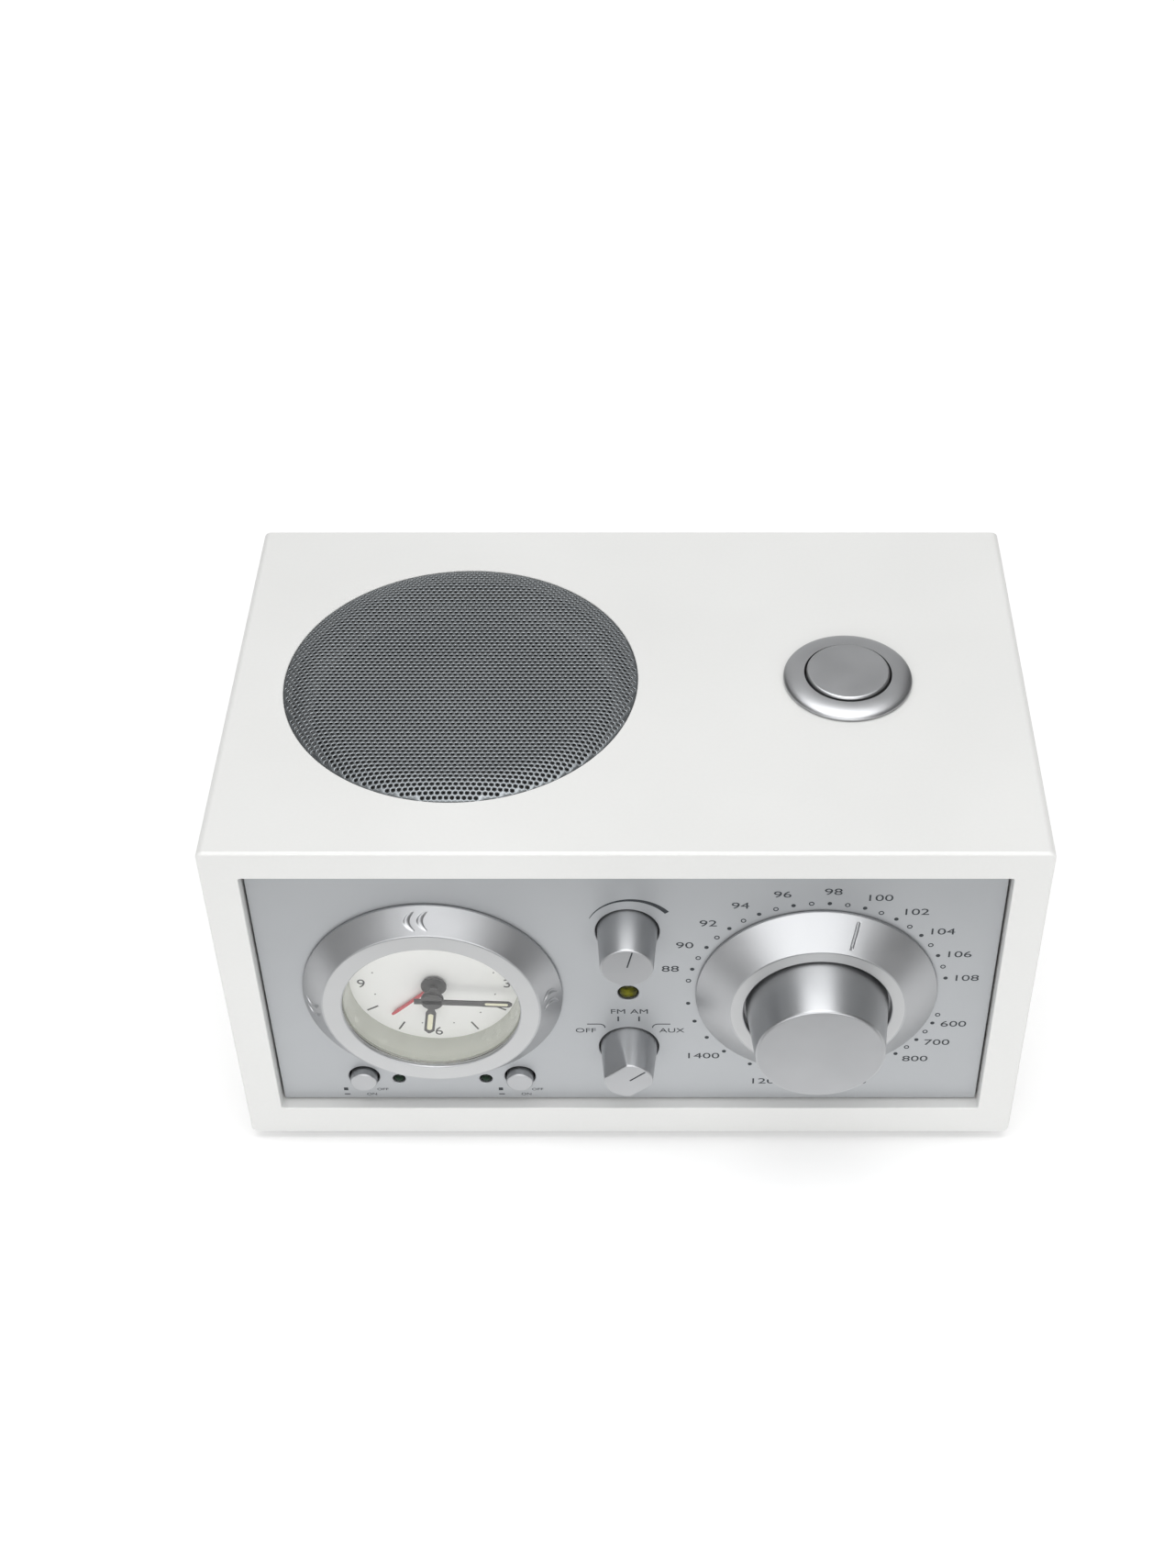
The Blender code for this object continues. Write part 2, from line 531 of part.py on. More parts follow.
def extruded(name, loops, thickness):
    """A flat outline and its holes, given thickness along local Z, as a closed mesh."""
    curve = bpy.data.curves.new(name, "CURVE")
    curve.dimensions = "2D"
    curve.fill_mode = "BOTH"
    curve.extrude = thickness / 2
    for loop in loops:
        spline = curve.splines.new("POLY")
        spline.points.add(len(loop) - 1)
        spline.use_cyclic_u = True
        for point, (x, y) in zip(spline.points, loop):
            point.co = (x, y, 0.0, 1.0)
    source = bpy.data.objects.new(name + "_outline", curve)
    cutters.objects.link(source)
    graph = bpy.context.evaluated_depsgraph_get()
    mesh = bpy.data.meshes.new_from_object(source.evaluated_get(graph))
    bpy.data.objects.remove(source, do_unlink=True)
    shape = bmesh.new()
    shape.from_mesh(mesh)
    bmesh.ops.remove_doubles(shape, verts=shape.verts, dist=0.001 * MM)
    bmesh.ops.recalc_face_normals(shape, faces=shape.faces)
    shape.to_mesh(mesh)
    shape.free()
    return bpy.data.objects.new(name, mesh)


def plate_front(name, finish, x, z, loops, start, end, angle=0.0):
    """A plate facing the front between two depths, turned to a clock angle."""
    obj = extruded(name, loops, end - start)
    return place(obj, finish, (x, FRONT + (start + end) / 2, z), (math.pi / 2, angle, 0.0))


def gear_outline(teeth, module, addendum, dedendum, backlash, phase):
    """Involute teeth: each flank runs from the root circle over the pitch circle to the tip circle.

    The half angle of a tooth at a radius is its half angle on the pitch circle, plus the involute of the
    pressure angle, less the involute of the angle whose cosine is the base radius over that radius.
    """
    pitch = module * teeth / 2
    base = pitch * math.cos(PRESSURE_ANGLE)
    half_at_pitch = math.pi / (2 * teeth) - backlash * module / (2 * pitch)

    def half_angle(radius):
        rolled = math.acos(min(1.0, base / radius))
        return half_at_pitch + involute(PRESSURE_ANGLE) - involute(rolled)

    flank = [(r, half_angle(r)) for r in (pitch - dedendum * module, pitch, pitch + addendum * module)]
    points = []
    for tooth in range(teeth):
        centre = phase + 2 * math.pi * tooth / teeth
        for radius, half in flank:
            points.append((radius * math.cos(centre - half), radius * math.sin(centre - half)))
        for radius, half in reversed(flank):
            points.append((radius * math.cos(centre + half), radius * math.sin(centre + half)))
    return points


def involute(angle):
    return math.tan(angle) - angle


def meshing_phase(direction, teeth, driver_teeth, driver_phase):
    """The phase that puts this gear's spaces on the teeth of its driver, which lies opposite direction."""
    share = (direction - driver_phase) * driver_teeth / (2 * math.pi)
    return direction + math.pi - (0.5 - share) * 2 * math.pi / teeth


def spur(name, finish, x, z, teeth, hole, start, end, phase):
    """An external gear between two depths, with a round hole."""
    outline = gear_outline(teeth, GEAR_MODULE, ADDENDUM, DEDENDUM, BACKLASH, phase)
    return plate_front(name, finish, x, z, [outline, circle(hole, TINY_STEPS)], start, end)


def build_cabinet():
    """One wooden tube with a batten inside each end of both sides, and the holes for what it carries."""
    outer = rectangle(CABINET_WIDTH, CABINET_HEIGHT, 0.0, FOOT_HEIGHT + CABINET_HEIGHT / 2, LONG_EDGE_RADIUS)
    inner = rectangle(2 * INNER_HALF_WIDTH, CEILING - FLOOR, 0.0, OPENING_MIDDLE)
    cabinet = plate_front("cabinet", "white_paint", 0.0, 0.0, [outer, inner], 0.0, CABINET_DEPTH)
    spans = {
        "front": (BEHIND_CHASSIS, BEHIND_CHASSIS + FRONT_BATTEN_DEPTH),
        "rear": (REAR_BATTEN_BACK - REAR_BATTEN_DEPTH, REAR_BATTEN_BACK),
    }
    for side_name, side in (("left", -1), ("right", 1)):
        edges = sorted((side * (INNER_HALF_WIDTH - BATTEN_WIDTH), side * (INNER_HALF_WIDTH + EMBED)))
        for end_name, (start, end) in spans.items():
            low = (edges[0], start, FLOOR - EMBED)
            high = (edges[1], end, CEILING + EMBED)
            fuse(cabinet, box(f"batten_{end_name}_{side_name}", None, low, high))
        for level, z in enumerate(SCREW_HEIGHTS):
            pilot_start = REAR_BATTEN_BACK - REAR_BATTEN_DEPTH + EMBED
            pilot = rod_front(
                f"pilot_{side_name}_{level}", None, side * SCREW_X, z, SCREW_HOLE_RADIUS,
                pilot_start, REAR_BATTEN_BACK + EMBED, TINY_STEPS,
            )
            cut(cabinet, pilot)
    above, below = TOP + EMBED, FOOT_HEIGHT - EMBED
    ledge = TOP - GRILLE_LEDGE_DEPTH
    seat_radius = GRILLE_RADIUS + SEAT_GAP
    speaker_hole = [
        (0.0, above),
        (seat_radius, above),
        (seat_radius, ledge),
        (SPEAKER_HOLE_RADIUS, ledge),
        (SPEAKER_HOLE_RADIUS, CEILING - EMBED),
        (0.0, CEILING - EMBED),
    ]
    cut(cabinet, turned_up("speaker_hole", None, SPEAKER_X, MID_DEPTH, speaker_hole, LARGE_STEPS))
    port_hole = PORT_RADIUS + SEAT_GAP
    holes = [
        ("snooze_hole", SNOOZE_X, MID_DEPTH, SNOOZE_HOLE_RADIUS, CEILING - EMBED, above, LARGE_STEPS),
        ("port_hole", PORT_X, PORT_DEPTH, port_hole, below, FLOOR + EMBED, MID_STEPS),
    ]
    peg_hole = FOOT_PEG_RADIUS + SEAT_GAP
    peg_top = FOOT_HEIGHT + FOOT_PEG_LENGTH + SEAT_GAP
    for name, x, depth in foot_places():
        holes.append((name + "_hole", x, depth, peg_hole, below, peg_top, TINY_STEPS))
    for name, x, depth, radius, low, high, steps in holes:
        cut(cabinet, rod_up(name, None, x, depth, radius, low, high, steps))


def foot_places():
    half = CABINET_WIDTH / 2 - FOOT_INSET
    for end, depth in (("front", FOOT_INSET), ("back", CABINET_DEPTH - FOOT_INSET)):
        for side, x in (("left", -half), ("right", half)):
            yield f"foot_{end}_{side}", x, depth


def build_feet():
    """Rubber pads with a peg that plugs into the cabinet's underside."""
    pad_top = FOOT_HEIGHT - SEAT_GAP
    profile = [
        (0.0, FOOT_HEIGHT + FOOT_PEG_LENGTH),
        (FOOT_PEG_RADIUS, FOOT_HEIGHT + FOOT_PEG_LENGTH),
        (FOOT_PEG_RADIUS, pad_top),
        (FOOT_RADIUS, pad_top),
        (FOOT_RADIUS, FOOT_EDGE),
        (FOOT_RADIUS - FOOT_EDGE, 0.0),
        (0.0, 0.0),
    ]
    for name, x, depth in foot_places():
        turned_up(name, "rubber", x, depth, profile, TINY_STEPS)


def control_hole_radius(control):
    return control["base"] + CONTROL_HOLE_GAP


def button_places():
    yield "alarm_button", "alarm_switch", CLOCK_X - BUTTON_SPREAD
    yield "sleep_button", "sleep_switch", CLOCK_X + BUTTON_SPREAD


def led_places():
    yield "alarm_led", CLOCK_X - LED_SPREAD, LED_Z, LED_RADIUS, "lamp_green"
    yield "sleep_led", CLOCK_X + LED_SPREAD, LED_Z, LED_RADIUS, "lamp_green"
    yield "power_led", 0.0, POWER_LED_Z, POWER_LED_RADIUS, "lamp_olive"


def shared_front_holes():
    """(x, z, radius, steps) of the holes that the panel and the chassis plate have alike."""
    holes = [(CLOCK_X, CLOCK_Z, BEZEL_SKIRT_RADIUS + SLIP_GAP, LARGE_STEPS)]
    holes += [(x, BUTTON_Z, BUTTON_HOLE_RADIUS, SMALL_STEPS) for _, _, x in button_places()]
    holes += [(x, z, radius + RUN_GAP, SMALL_STEPS) for _, x, z, radius, _ in led_places()]
    return holes


def build_front_panel():
    """The thin silver plate recessed in the cabinet's mouth."""
    holes = shared_front_holes()
    holes.append((TUNING_X, TUNING_Z, SLEEVE_RADIUS + SLIP_GAP, MID_STEPS))
    for control in (VOLUME, SOURCE):
        holes.append((0.0, FOOT_HEIGHT + control["height"], control_hole_radius(control), MID_STEPS))
    front_plate("front_panel", "silver_panel", PANEL_EDGE_GAP, holes, PANEL_RECESS, PANEL_BACK)


def front_plate(name, finish, edge_gap, holes, start, end):
    """A plate that fills the cabinet's mouth but for a gap all round, with round holes."""
    loops = [rectangle(2 * (INNER_HALF_WIDTH - edge_gap), CEILING - FLOOR - 2 * edge_gap)]
    loops += [circle(radius, steps, x, z - OPENING_MIDDLE) for x, z, radius, steps in holes]
    return plate_front(name, finish, 0.0, OPENING_MIDDLE, loops, start, end)


def build_front_chassis():
    """The moulded plate behind the panel, with a well at the clock that carries its movement."""
    holes = shared_front_holes()
    holes.append((TUNING_X, TUNING_Z, SLEEVE_RADIUS + RUN_GAP, MID_STEPS))
    holes.append((IDLER_X, IDLER_Z, IDLER_ARBOR_RADIUS + RUN_GAP, TINY_STEPS))
    for control in (VOLUME, SOURCE):
        holes.append((0.0, FOOT_HEIGHT + control["height"], CONTROL_BUSH_RADIUS + SEAT_GAP, SMALL_STEPS))
    chassis = front_plate(
        "front_chassis", "black_plastic", PANEL_EDGE_GAP, holes, CHASSIS_FRONT, CHASSIS_BACK
    )
    well_start = CHASSIS_BACK - EMBED
    well_outside = WELL_RADIUS + WELL_WALL
    well_back = WELL_FLOOR + WELL_WALL
    well = [
        (0.0, WELL_FLOOR),
        (WELL_RADIUS, WELL_FLOOR),
        (WELL_RADIUS, well_start),
        (well_outside, well_start),
        (well_outside, well_back),
        (0.0, well_back),
    ]
    fuse(chassis, turned_front("clock_well", None, CLOCK_X, CLOCK_Z, well, LARGE_STEPS))
    arbor_hole = rod_front(
        "alarm_arbor_hole", None, ALARM_PINION_X, ALARM_PINION_Z, ALARM_ARBOR_RADIUS + RUN_GAP,
        WELL_FLOOR - EMBED, well_back + EMBED, TINY_STEPS,
    )
    cut(chassis, arbor_hole)


def build_clock_case():
    """The turning bezel with its skirt and ring gear, the lens it holds, and the fixed dial cup."""
    skirt_inside = BEZEL_SKIRT_RADIUS - BEZEL_SKIRT_WALL
    lip_back = BEZEL_FRONT + BEZEL_LIP_THICKNESS
    bezel = [
        (BEZEL_LIP_RADIUS, BEZEL_FRONT),
        (BEZEL_RIM_RADIUS, BEZEL_FRONT),
        (BEZEL_BASE_RADIUS, PANEL_TOUCH - BEZEL_EDGE),
        (BEZEL_BASE_RADIUS, PANEL_TOUCH),
        (BEZEL_SKIRT_RADIUS, PANEL_TOUCH),
        (BEZEL_SKIRT_RADIUS, SKIRT_BACK),
        (skirt_inside, SKIRT_BACK),
        (skirt_inside, BEZEL_WEB_BACK),
        (LENS_SEAT_RADIUS, BEZEL_WEB_BACK),
        (LENS_SEAT_RADIUS, lip_back),
        (BEZEL_LIP_RADIUS, lip_back),
    ]
    turned_front("clock_bezel", "satin_aluminium", CLOCK_X, CLOCK_Z, bezel, LARGE_STEPS, closed=True)
    rod_front(
        "clock_lens", "clear_plastic", CLOCK_X, CLOCK_Z, LENS_RADIUS, LENS_FRONT, LENS_BACK, LARGE_STEPS
    )
    cup = [
        (DIAL_CUP_RADIUS - DIAL_WALL, DIAL_CUP_FRONT),
        (DIAL_CUP_RADIUS, DIAL_CUP_FRONT),
        (DIAL_CUP_RADIUS, DIAL_BACK),
        (DIAL_HOLE_RADIUS, DIAL_BACK),
        (DIAL_HOLE_RADIUS, DIAL_FACE),
        (DIAL_RADIUS, DIAL_FACE),
    ]
    turned_front("clock_dial", "dial_white", CLOCK_X, CLOCK_Z, cup, LARGE_STEPS, closed=True)
    teeth_phase = ALARM_PINION_DIRECTION
    hole = gear_outline(RING_GEAR_TEETH, RING_GEAR_MODULE, DEDENDUM, ADDENDUM, -BACKLASH, teeth_phase)
    loops = [circle(BEZEL_SKIRT_RADIUS, LARGE_STEPS), hole]
    plate_front("alarm_ring_gear", "white_nylon", CLOCK_X, CLOCK_Z, loops, RING_GEAR_FRONT, RING_GEAR_BACK)


def build_clock_movement():
    """The movement with its centre post, and the pinion that takes up the bezel's turn."""
    half = MOVEMENT_SIDE / 2
    low = (CLOCK_X - half, DIAL_BACK + SEAT_GAP, CLOCK_Z - half)
    high = (CLOCK_X + half, WELL_FLOOR - SEAT_GAP, CLOCK_Z + half)
    movement = box("clock_movement", "black_plastic", low, high)
    post_end = DIAL_BACK + SEAT_GAP + EMBED
    post = rod_front("clock_post", None, CLOCK_X, CLOCK_Z, POST_RADIUS, POST_FRONT, post_end, TINY_STEPS)
    fuse(movement, post)

    outline = gear_outline(
        ALARM_PINION_TEETH, RING_GEAR_MODULE, ADDENDUM, DEDENDUM, BACKLASH, ALARM_PINION_DIRECTION
    )
    loops = [outline, circle(ALARM_ARBOR_RADIUS / 2, TINY_STEPS)]
    pinion = plate_front(
        "alarm_pinion", "brass", ALARM_PINION_X, ALARM_PINION_Z, loops,
        RING_GEAR_FRONT - GEAR_EXTRA_FACE, RING_GEAR_BACK + GEAR_EXTRA_FACE,
    )
    arbor = rod_front(
        "alarm_arbor", None, ALARM_PINION_X, ALARM_PINION_Z, ALARM_ARBOR_RADIUS,
        RING_GEAR_FRONT - EMBED, WELL_FLOOR + WELL_WALL, TINY_STEPS,
    )
    fuse(pinion, arbor)


def hand_outline(hand):
    """A blade along local +Y from a round hub to just short of the dial's edge, with a short tail."""
    half_width = hand["width"] / 2
    length = DIAL_RADIUS - hand["short"]
    open_angle = math.asin(half_width / hand["hub"])
    points = []
    for start, tip in ((math.pi / 2, length), (3 * math.pi / 2, -hand["tail"])):
        side = math.copysign(half_width, tip)
        points += [(side, tip), (-side, tip)]
        for i in range(SMALL_STEPS // 2 + 1):
            a = start + open_angle + (math.pi - 2 * open_angle) * i / (SMALL_STEPS // 2)
            points.append((hand["hub"] * math.cos(a), hand["hub"] * math.sin(a)))
    return points


def build_clock_hands():
    """Flat hands: the two rear ones ride round the post, the front one caps it."""
    bore = circle(POST_RADIUS + RUN_GAP, TINY_STEPS)
    hands = [
        ("minute_hand", "hand_grey", MINUTE_HAND, MINUTE_HAND_DEPTH, MINUTE_ANGLE, []),
        ("hour_hand", "hand_grey", HOUR_HAND, HOUR_HAND_DEPTH, HOUR_ANGLE, [bore]),
        ("alarm_hand", "hand_red", ALARM_HAND, ALARM_HAND_DEPTH, ALARM_ANGLE, [bore]),
    ]
    for name, finish, hand, depth, angle, holes in hands:
        loops = [hand_outline(hand)] + holes
        plate_front(name, finish, CLOCK_X, CLOCK_Z, loops, depth, depth + HAND_THICKNESS, angle)


def build_tuning_dial():
    """The conical dial ring on its sleeve, and the knob on the shaft that runs through the sleeve."""
    ring_bore = SLEEVE_RADIUS + SEAT_GAP
    ring = [
        (RING_BORE_RADIUS, RING_FRONT),
        (RING_RIM_RADIUS, RING_FRONT),
        (RING_BASE_RADIUS, PANEL_TOUCH - RING_EDGE),
        (RING_BASE_RADIUS, PANEL_TOUCH),
        (ring_bore, PANEL_TOUCH),
        (ring_bore, RING_FLOOR),
        (RING_BORE_RADIUS, RING_FLOOR),
    ]
    turned_front("dial_ring", "satin_aluminium", TUNING_X, TUNING_Z, ring, LARGE_STEPS, closed=True)
    bore_end = KNOB_BORE_FRONT_WALL - KNOB_REACH
    knob = [
        (0.0, -KNOB_REACH),
        (KNOB_FRONT_RADIUS - KNOB_EDGE, -KNOB_REACH),
        (KNOB_FRONT_RADIUS, KNOB_EDGE - KNOB_REACH),
        (KNOB_BASE_RADIUS, KNOB_BACK),
        (SLEEVE_BORE, KNOB_BACK),
        (SLEEVE_BORE, bore_end),
        (0.0, bore_end),
    ]
    turned_front("tuning_knob", "satin_aluminium", TUNING_X, TUNING_Z, knob, LARGE_STEPS)

    sleeve_front = RING_FLOOR + SEAT_GAP
    sleeve_back = FIRST_ROW + GEAR_FACE + SEAT_GAP
    tube = [
        (SLEEVE_BORE, sleeve_front),
        (SLEEVE_RADIUS, sleeve_front),
        (SLEEVE_RADIUS, sleeve_back),
        (SLEEVE_BORE, sleeve_back),
    ]
    sleeve = turned_front("dial_sleeve", "white_nylon", TUNING_X, TUNING_Z, tube, SMALL_STEPS, closed=True)
    gear_hole = (SLEEVE_BORE + SLEEVE_RADIUS) / 2
    gear = spur(
        "sleeve_gear", None, TUNING_X, TUNING_Z, SLEEVE_TEETH, gear_hole,
        FIRST_ROW, FIRST_ROW + GEAR_FACE, IDLER_DIRECTION,
    )
    fuse(sleeve, gear)

    shaft_end = BRIDGE_BACK + EMBED
    shaft = rod_front(
        "tuning_shaft", "steel", TUNING_X, TUNING_Z, TUNING_SHAFT_RADIUS,
        bore_end + SEAT_GAP, shaft_end, SMALL_STEPS,
    )
    pinion = spur(
        "tuning_pinion", None, TUNING_X, TUNING_Z, PINION_TEETH, TUNING_SHAFT_RADIUS / 2,
        SECOND_ROW - GEAR_EXTRA_FACE, SECOND_ROW + GEAR_FACE + GEAR_EXTRA_FACE, IDLER_DIRECTION,
    )
    fuse(shaft, pinion)


def build_reduction():
    """The idler that carries the knob's turn to the sleeve, and the gear that turns the capacitor."""
    arbor = rod_front(
        "idler_gear", "brass", IDLER_X, IDLER_Z, IDLER_ARBOR_RADIUS,
        CHASSIS_FRONT + EMBED, BRIDGE_BACK + EMBED, TINY_STEPS,
    )
    small = spur(
        "idler_small_gear", None, IDLER_X, IDLER_Z, IDLER_SMALL_TEETH, IDLER_ARBOR_RADIUS / 2,
        FIRST_ROW - GEAR_EXTRA_FACE, FIRST_ROW + GEAR_FACE + GEAR_EXTRA_FACE,
        meshing_phase(IDLER_DIRECTION, IDLER_SMALL_TEETH, SLEEVE_TEETH, IDLER_DIRECTION),
    )
    large = spur(
        "idler_large_gear", None, IDLER_X, IDLER_Z, IDLER_LARGE_TEETH, IDLER_ARBOR_RADIUS / 2,
        SECOND_ROW, SECOND_ROW + GEAR_FACE,
        meshing_phase(IDLER_DIRECTION, IDLER_LARGE_TEETH, PINION_TEETH, IDLER_DIRECTION),
    )
    fuse(arbor, small, large)

    capacitor_front = BRIDGE_BACK + SEAT_GAP
    rotor = rod_front(
        "capacitor_rotor", "brass", CAPACITOR_X, CAPACITOR_Z, CAPACITOR_SHAFT_RADIUS,
        FIRST_ROW - EMBED, capacitor_front + CAPACITOR_BORE_DEPTH - SEAT_GAP, TINY_STEPS,
    )
    gear = spur(
        "capacitor_gear", None, CAPACITOR_X, CAPACITOR_Z, CAPACITOR_TEETH, CAPACITOR_SHAFT_RADIUS / 2,
        FIRST_ROW, FIRST_ROW + GEAR_FACE,
        meshing_phase(CAPACITOR_DIRECTION, CAPACITOR_TEETH, SLEEVE_TEETH, IDLER_DIRECTION),
    )
    fuse(rotor, gear)

    half = CAPACITOR_SIDE / 2
    low = (CAPACITOR_X - half, capacitor_front, CAPACITOR_Z - half)
    high = (CAPACITOR_X + half, capacitor_front + CAPACITOR_DEPTH, CAPACITOR_Z + half)
    capacitor = box("tuning_capacitor", "white_nylon", low, high)
    bore = rod_front(
        "capacitor_bore", None, CAPACITOR_X, CAPACITOR_Z, CAPACITOR_SHAFT_RADIUS + RUN_GAP,
        capacitor_front - EMBED, capacitor_front + CAPACITOR_BORE_DEPTH, TINY_STEPS,
    )
    cut(capacitor, bore)


def build_gearbox_plate():
    """The steel plate that carries the rear ends of the gear shafts, on four pillars from the chassis."""
    middle_x = (BRIDGE_LEFT + BRIDGE_RIGHT) / 2
    middle_z = (BRIDGE_LOW + BRIDGE_HIGH) / 2
    loops = [rectangle(BRIDGE_RIGHT - BRIDGE_LEFT, BRIDGE_HIGH - BRIDGE_LOW)]
    bores = (
        (TUNING_X, TUNING_Z, TUNING_SHAFT_RADIUS),
        (IDLER_X, IDLER_Z, IDLER_ARBOR_RADIUS),
        (CAPACITOR_X, CAPACITOR_Z, CAPACITOR_SHAFT_RADIUS),
    )
    for x, z, radius in bores:
        loops.append(circle(radius + RUN_GAP, SMALL_STEPS, x - middle_x, z - middle_z))
    plate = plate_front("gearbox_plate", "steel", middle_x, middle_z, loops, BRIDGE_FRONT, BRIDGE_BACK)
    for x in (BRIDGE_LEFT + PILLAR_RADIUS + EMBED, BRIDGE_RIGHT - PILLAR_RADIUS - EMBED):
        for z in (BRIDGE_LOW + PILLAR_RADIUS + EMBED, BRIDGE_HIGH - PILLAR_RADIUS - EMBED):
            name = f"pillar_{len(plate.modifiers)}"
            pillar_end = BRIDGE_FRONT + EMBED
            fuse(plate, rod_front(name, None, x, z, PILLAR_RADIUS, BEHIND_CHASSIS, pillar_end, TINY_STEPS))


def build_control(knob_name, shaft_name, body_name, control):
    """A tapered knob, its shaft, and the body that the shaft turns in. Gives back the knob."""
    z = FOOT_HEIGHT + control["height"]
    front = -control["reach"]
    knob_back = CHASSIS_FRONT - CONTROL_SEAT
    shaft_front = knob_back - CONTROL_SHAFT_GRIP
    grip_radius = CONTROL_SHAFT_RADIUS + RUN_GAP
    profile = [
        (0.0, front),
        (control["front"] - CONTROL_EDGE, front),
        (control["front"], front + CONTROL_EDGE),
        (control["base"], knob_back),
        (grip_radius, knob_back),
        (grip_radius, shaft_front - SEAT_GAP),
        (0.0, shaft_front - SEAT_GAP),
    ]
    knob = turned_front(knob_name, "satin_aluminium", 0.0, z, profile, MID_STEPS)

    body_front = CHASSIS_FRONT + CONTROL_BUSH_FRONT
    body_back = BEHIND_CHASSIS + CONTROL_BODY_DEPTH
    bore_end = BEHIND_CHASSIS + CONTROL_BORE_DEPTH
    shaft_end = bore_end - SEAT_GAP
    rod_front(shaft_name, "steel", 0.0, z, CONTROL_SHAFT_RADIUS, shaft_front, shaft_end, SMALL_STEPS)
    body = [
        (0.0, bore_end),
        (grip_radius, bore_end),
        (grip_radius, body_front),
        (CONTROL_BUSH_RADIUS, body_front),
        (CONTROL_BUSH_RADIUS, BEHIND_CHASSIS),
        (CONTROL_BODY_RADIUS, BEHIND_CHASSIS),
        (CONTROL_BODY_RADIUS, body_back),
        (0.0, body_back),
    ]
    turned_front(body_name, "dark_steel", 0.0, z, body, SMALL_STEPS)
    return knob


def cut_flats(knob, control):
    """Two flats along the knob's pointer, sloping out from its front until they run out at the panel."""
    front, back = -control["reach"], PANEL_RECESS
    outside = 2 * control["base"]
    slope = (SOURCE_FLAT_BACK - SOURCE_FLAT_FRONT) / (back - front)
    section = [
        (SOURCE_FLAT_FRONT - slope * EMBED, front - EMBED),
        (SOURCE_FLAT_BACK, back),
        (outside, back),
        (outside, front - EMBED),
    ]
    for side in (-1, 1):
        loop = [(side * across, depth) for across, depth in section]
        flat = extruded(f"{knob.name}_flat_{side + 1}", [loop], 2 * outside)
        place(flat, None, (0.0, FRONT, FOOT_HEIGHT + control["height"]), (0.0, SOURCE_TURN, 0.0))
        cut(knob, flat)


def build_buttons():
    """Two latching push buttons with their switches behind the chassis."""
    front = PANEL_RECESS - BUTTON_PROUD
    cap_back = CHASSIS_BACK - BUTTON_TRAVEL - SLIP_GAP
    stem_end = BEHIND_CHASSIS + BUTTON_STEM_ENTRY
    cap = [
        (0.0, front),
        (BUTTON_RADIUS - BUTTON_EDGE, front),
        (BUTTON_RADIUS, front + BUTTON_EDGE),
        (BUTTON_RADIUS, cap_back),
        (BUTTON_STEM_RADIUS, cap_back),
        (BUTTON_STEM_RADIUS, stem_end),
        (0.0, stem_end),
    ]
    half = BUTTON_SWITCH_SIDE / 2
    for button_name, switch_name, x in button_places():
        turned_front(button_name, "satin_aluminium", x, BUTTON_Z, cap, SMALL_STEPS)
        low = (x - half, BEHIND_CHASSIS, BUTTON_Z - half)
        high = (x + half, BEHIND_CHASSIS + BUTTON_SWITCH_DEPTH, BUTTON_Z + half)
        bore = rod_front(
            switch_name + "_bore", None, x, BUTTON_Z, BUTTON_STEM_RADIUS + SEAT_GAP,
            BEHIND_CHASSIS - EMBED, stem_end + BUTTON_TRAVEL + SLIP_GAP, TINY_STEPS,
        )
        cut(box(switch_name, "black_plastic", low, high), bore)


def build_leds():
    for name, x, z, radius, finish in led_places():
        rod_front(name, finish, x, z, radius, PANEL_RECESS - LED_PROUD, CHASSIS_BACK + LED_TAIL, TINY_STEPS)


def grille_height(radius):
    """Flat in the middle; outside that it falls away as the square of the distance, down to its sunk edge."""
    fall = GRILLE_CROWN + GRILLE_EDGE_SINK
    share = max(0.0, (radius - GRILLE_FLAT_RADIUS) / (GRILLE_RADIUS - GRILLE_FLAT_RADIUS))
    return TOP + GRILLE_CROWN - fall * share**2


def build_grille():
    """The domed steel disc that drops into the seat in the cabinet's top."""
    rim = GRILLE_RADIUS - GRILLE_FLAT_RADIUS
    radii = [GRILLE_FLAT_RADIUS + rim * i / (GRILLE_ARC_POINTS - 1) for i in range(GRILLE_ARC_POINTS)]
    seat = TOP - GRILLE_LEDGE_DEPTH + SEAT_GAP
    inner_radii = [r - GRILLE_THICKNESS for r in reversed(radii)]
    profile = [(0.0, grille_height(0.0))]
    profile += [(r, grille_height(r)) for r in radii]
    profile += [(GRILLE_RADIUS, seat), (GRILLE_RADIUS - GRILLE_THICKNESS, seat)]
    profile += [(r, grille_height(r) - GRILLE_THICKNESS) for r in inner_radii]
    profile.append((0.0, grille_height(0.0) - GRILLE_THICKNESS))
    turned_up("speaker_grille", "dark_steel", SPEAKER_X, MID_DEPTH, profile, LARGE_STEPS)


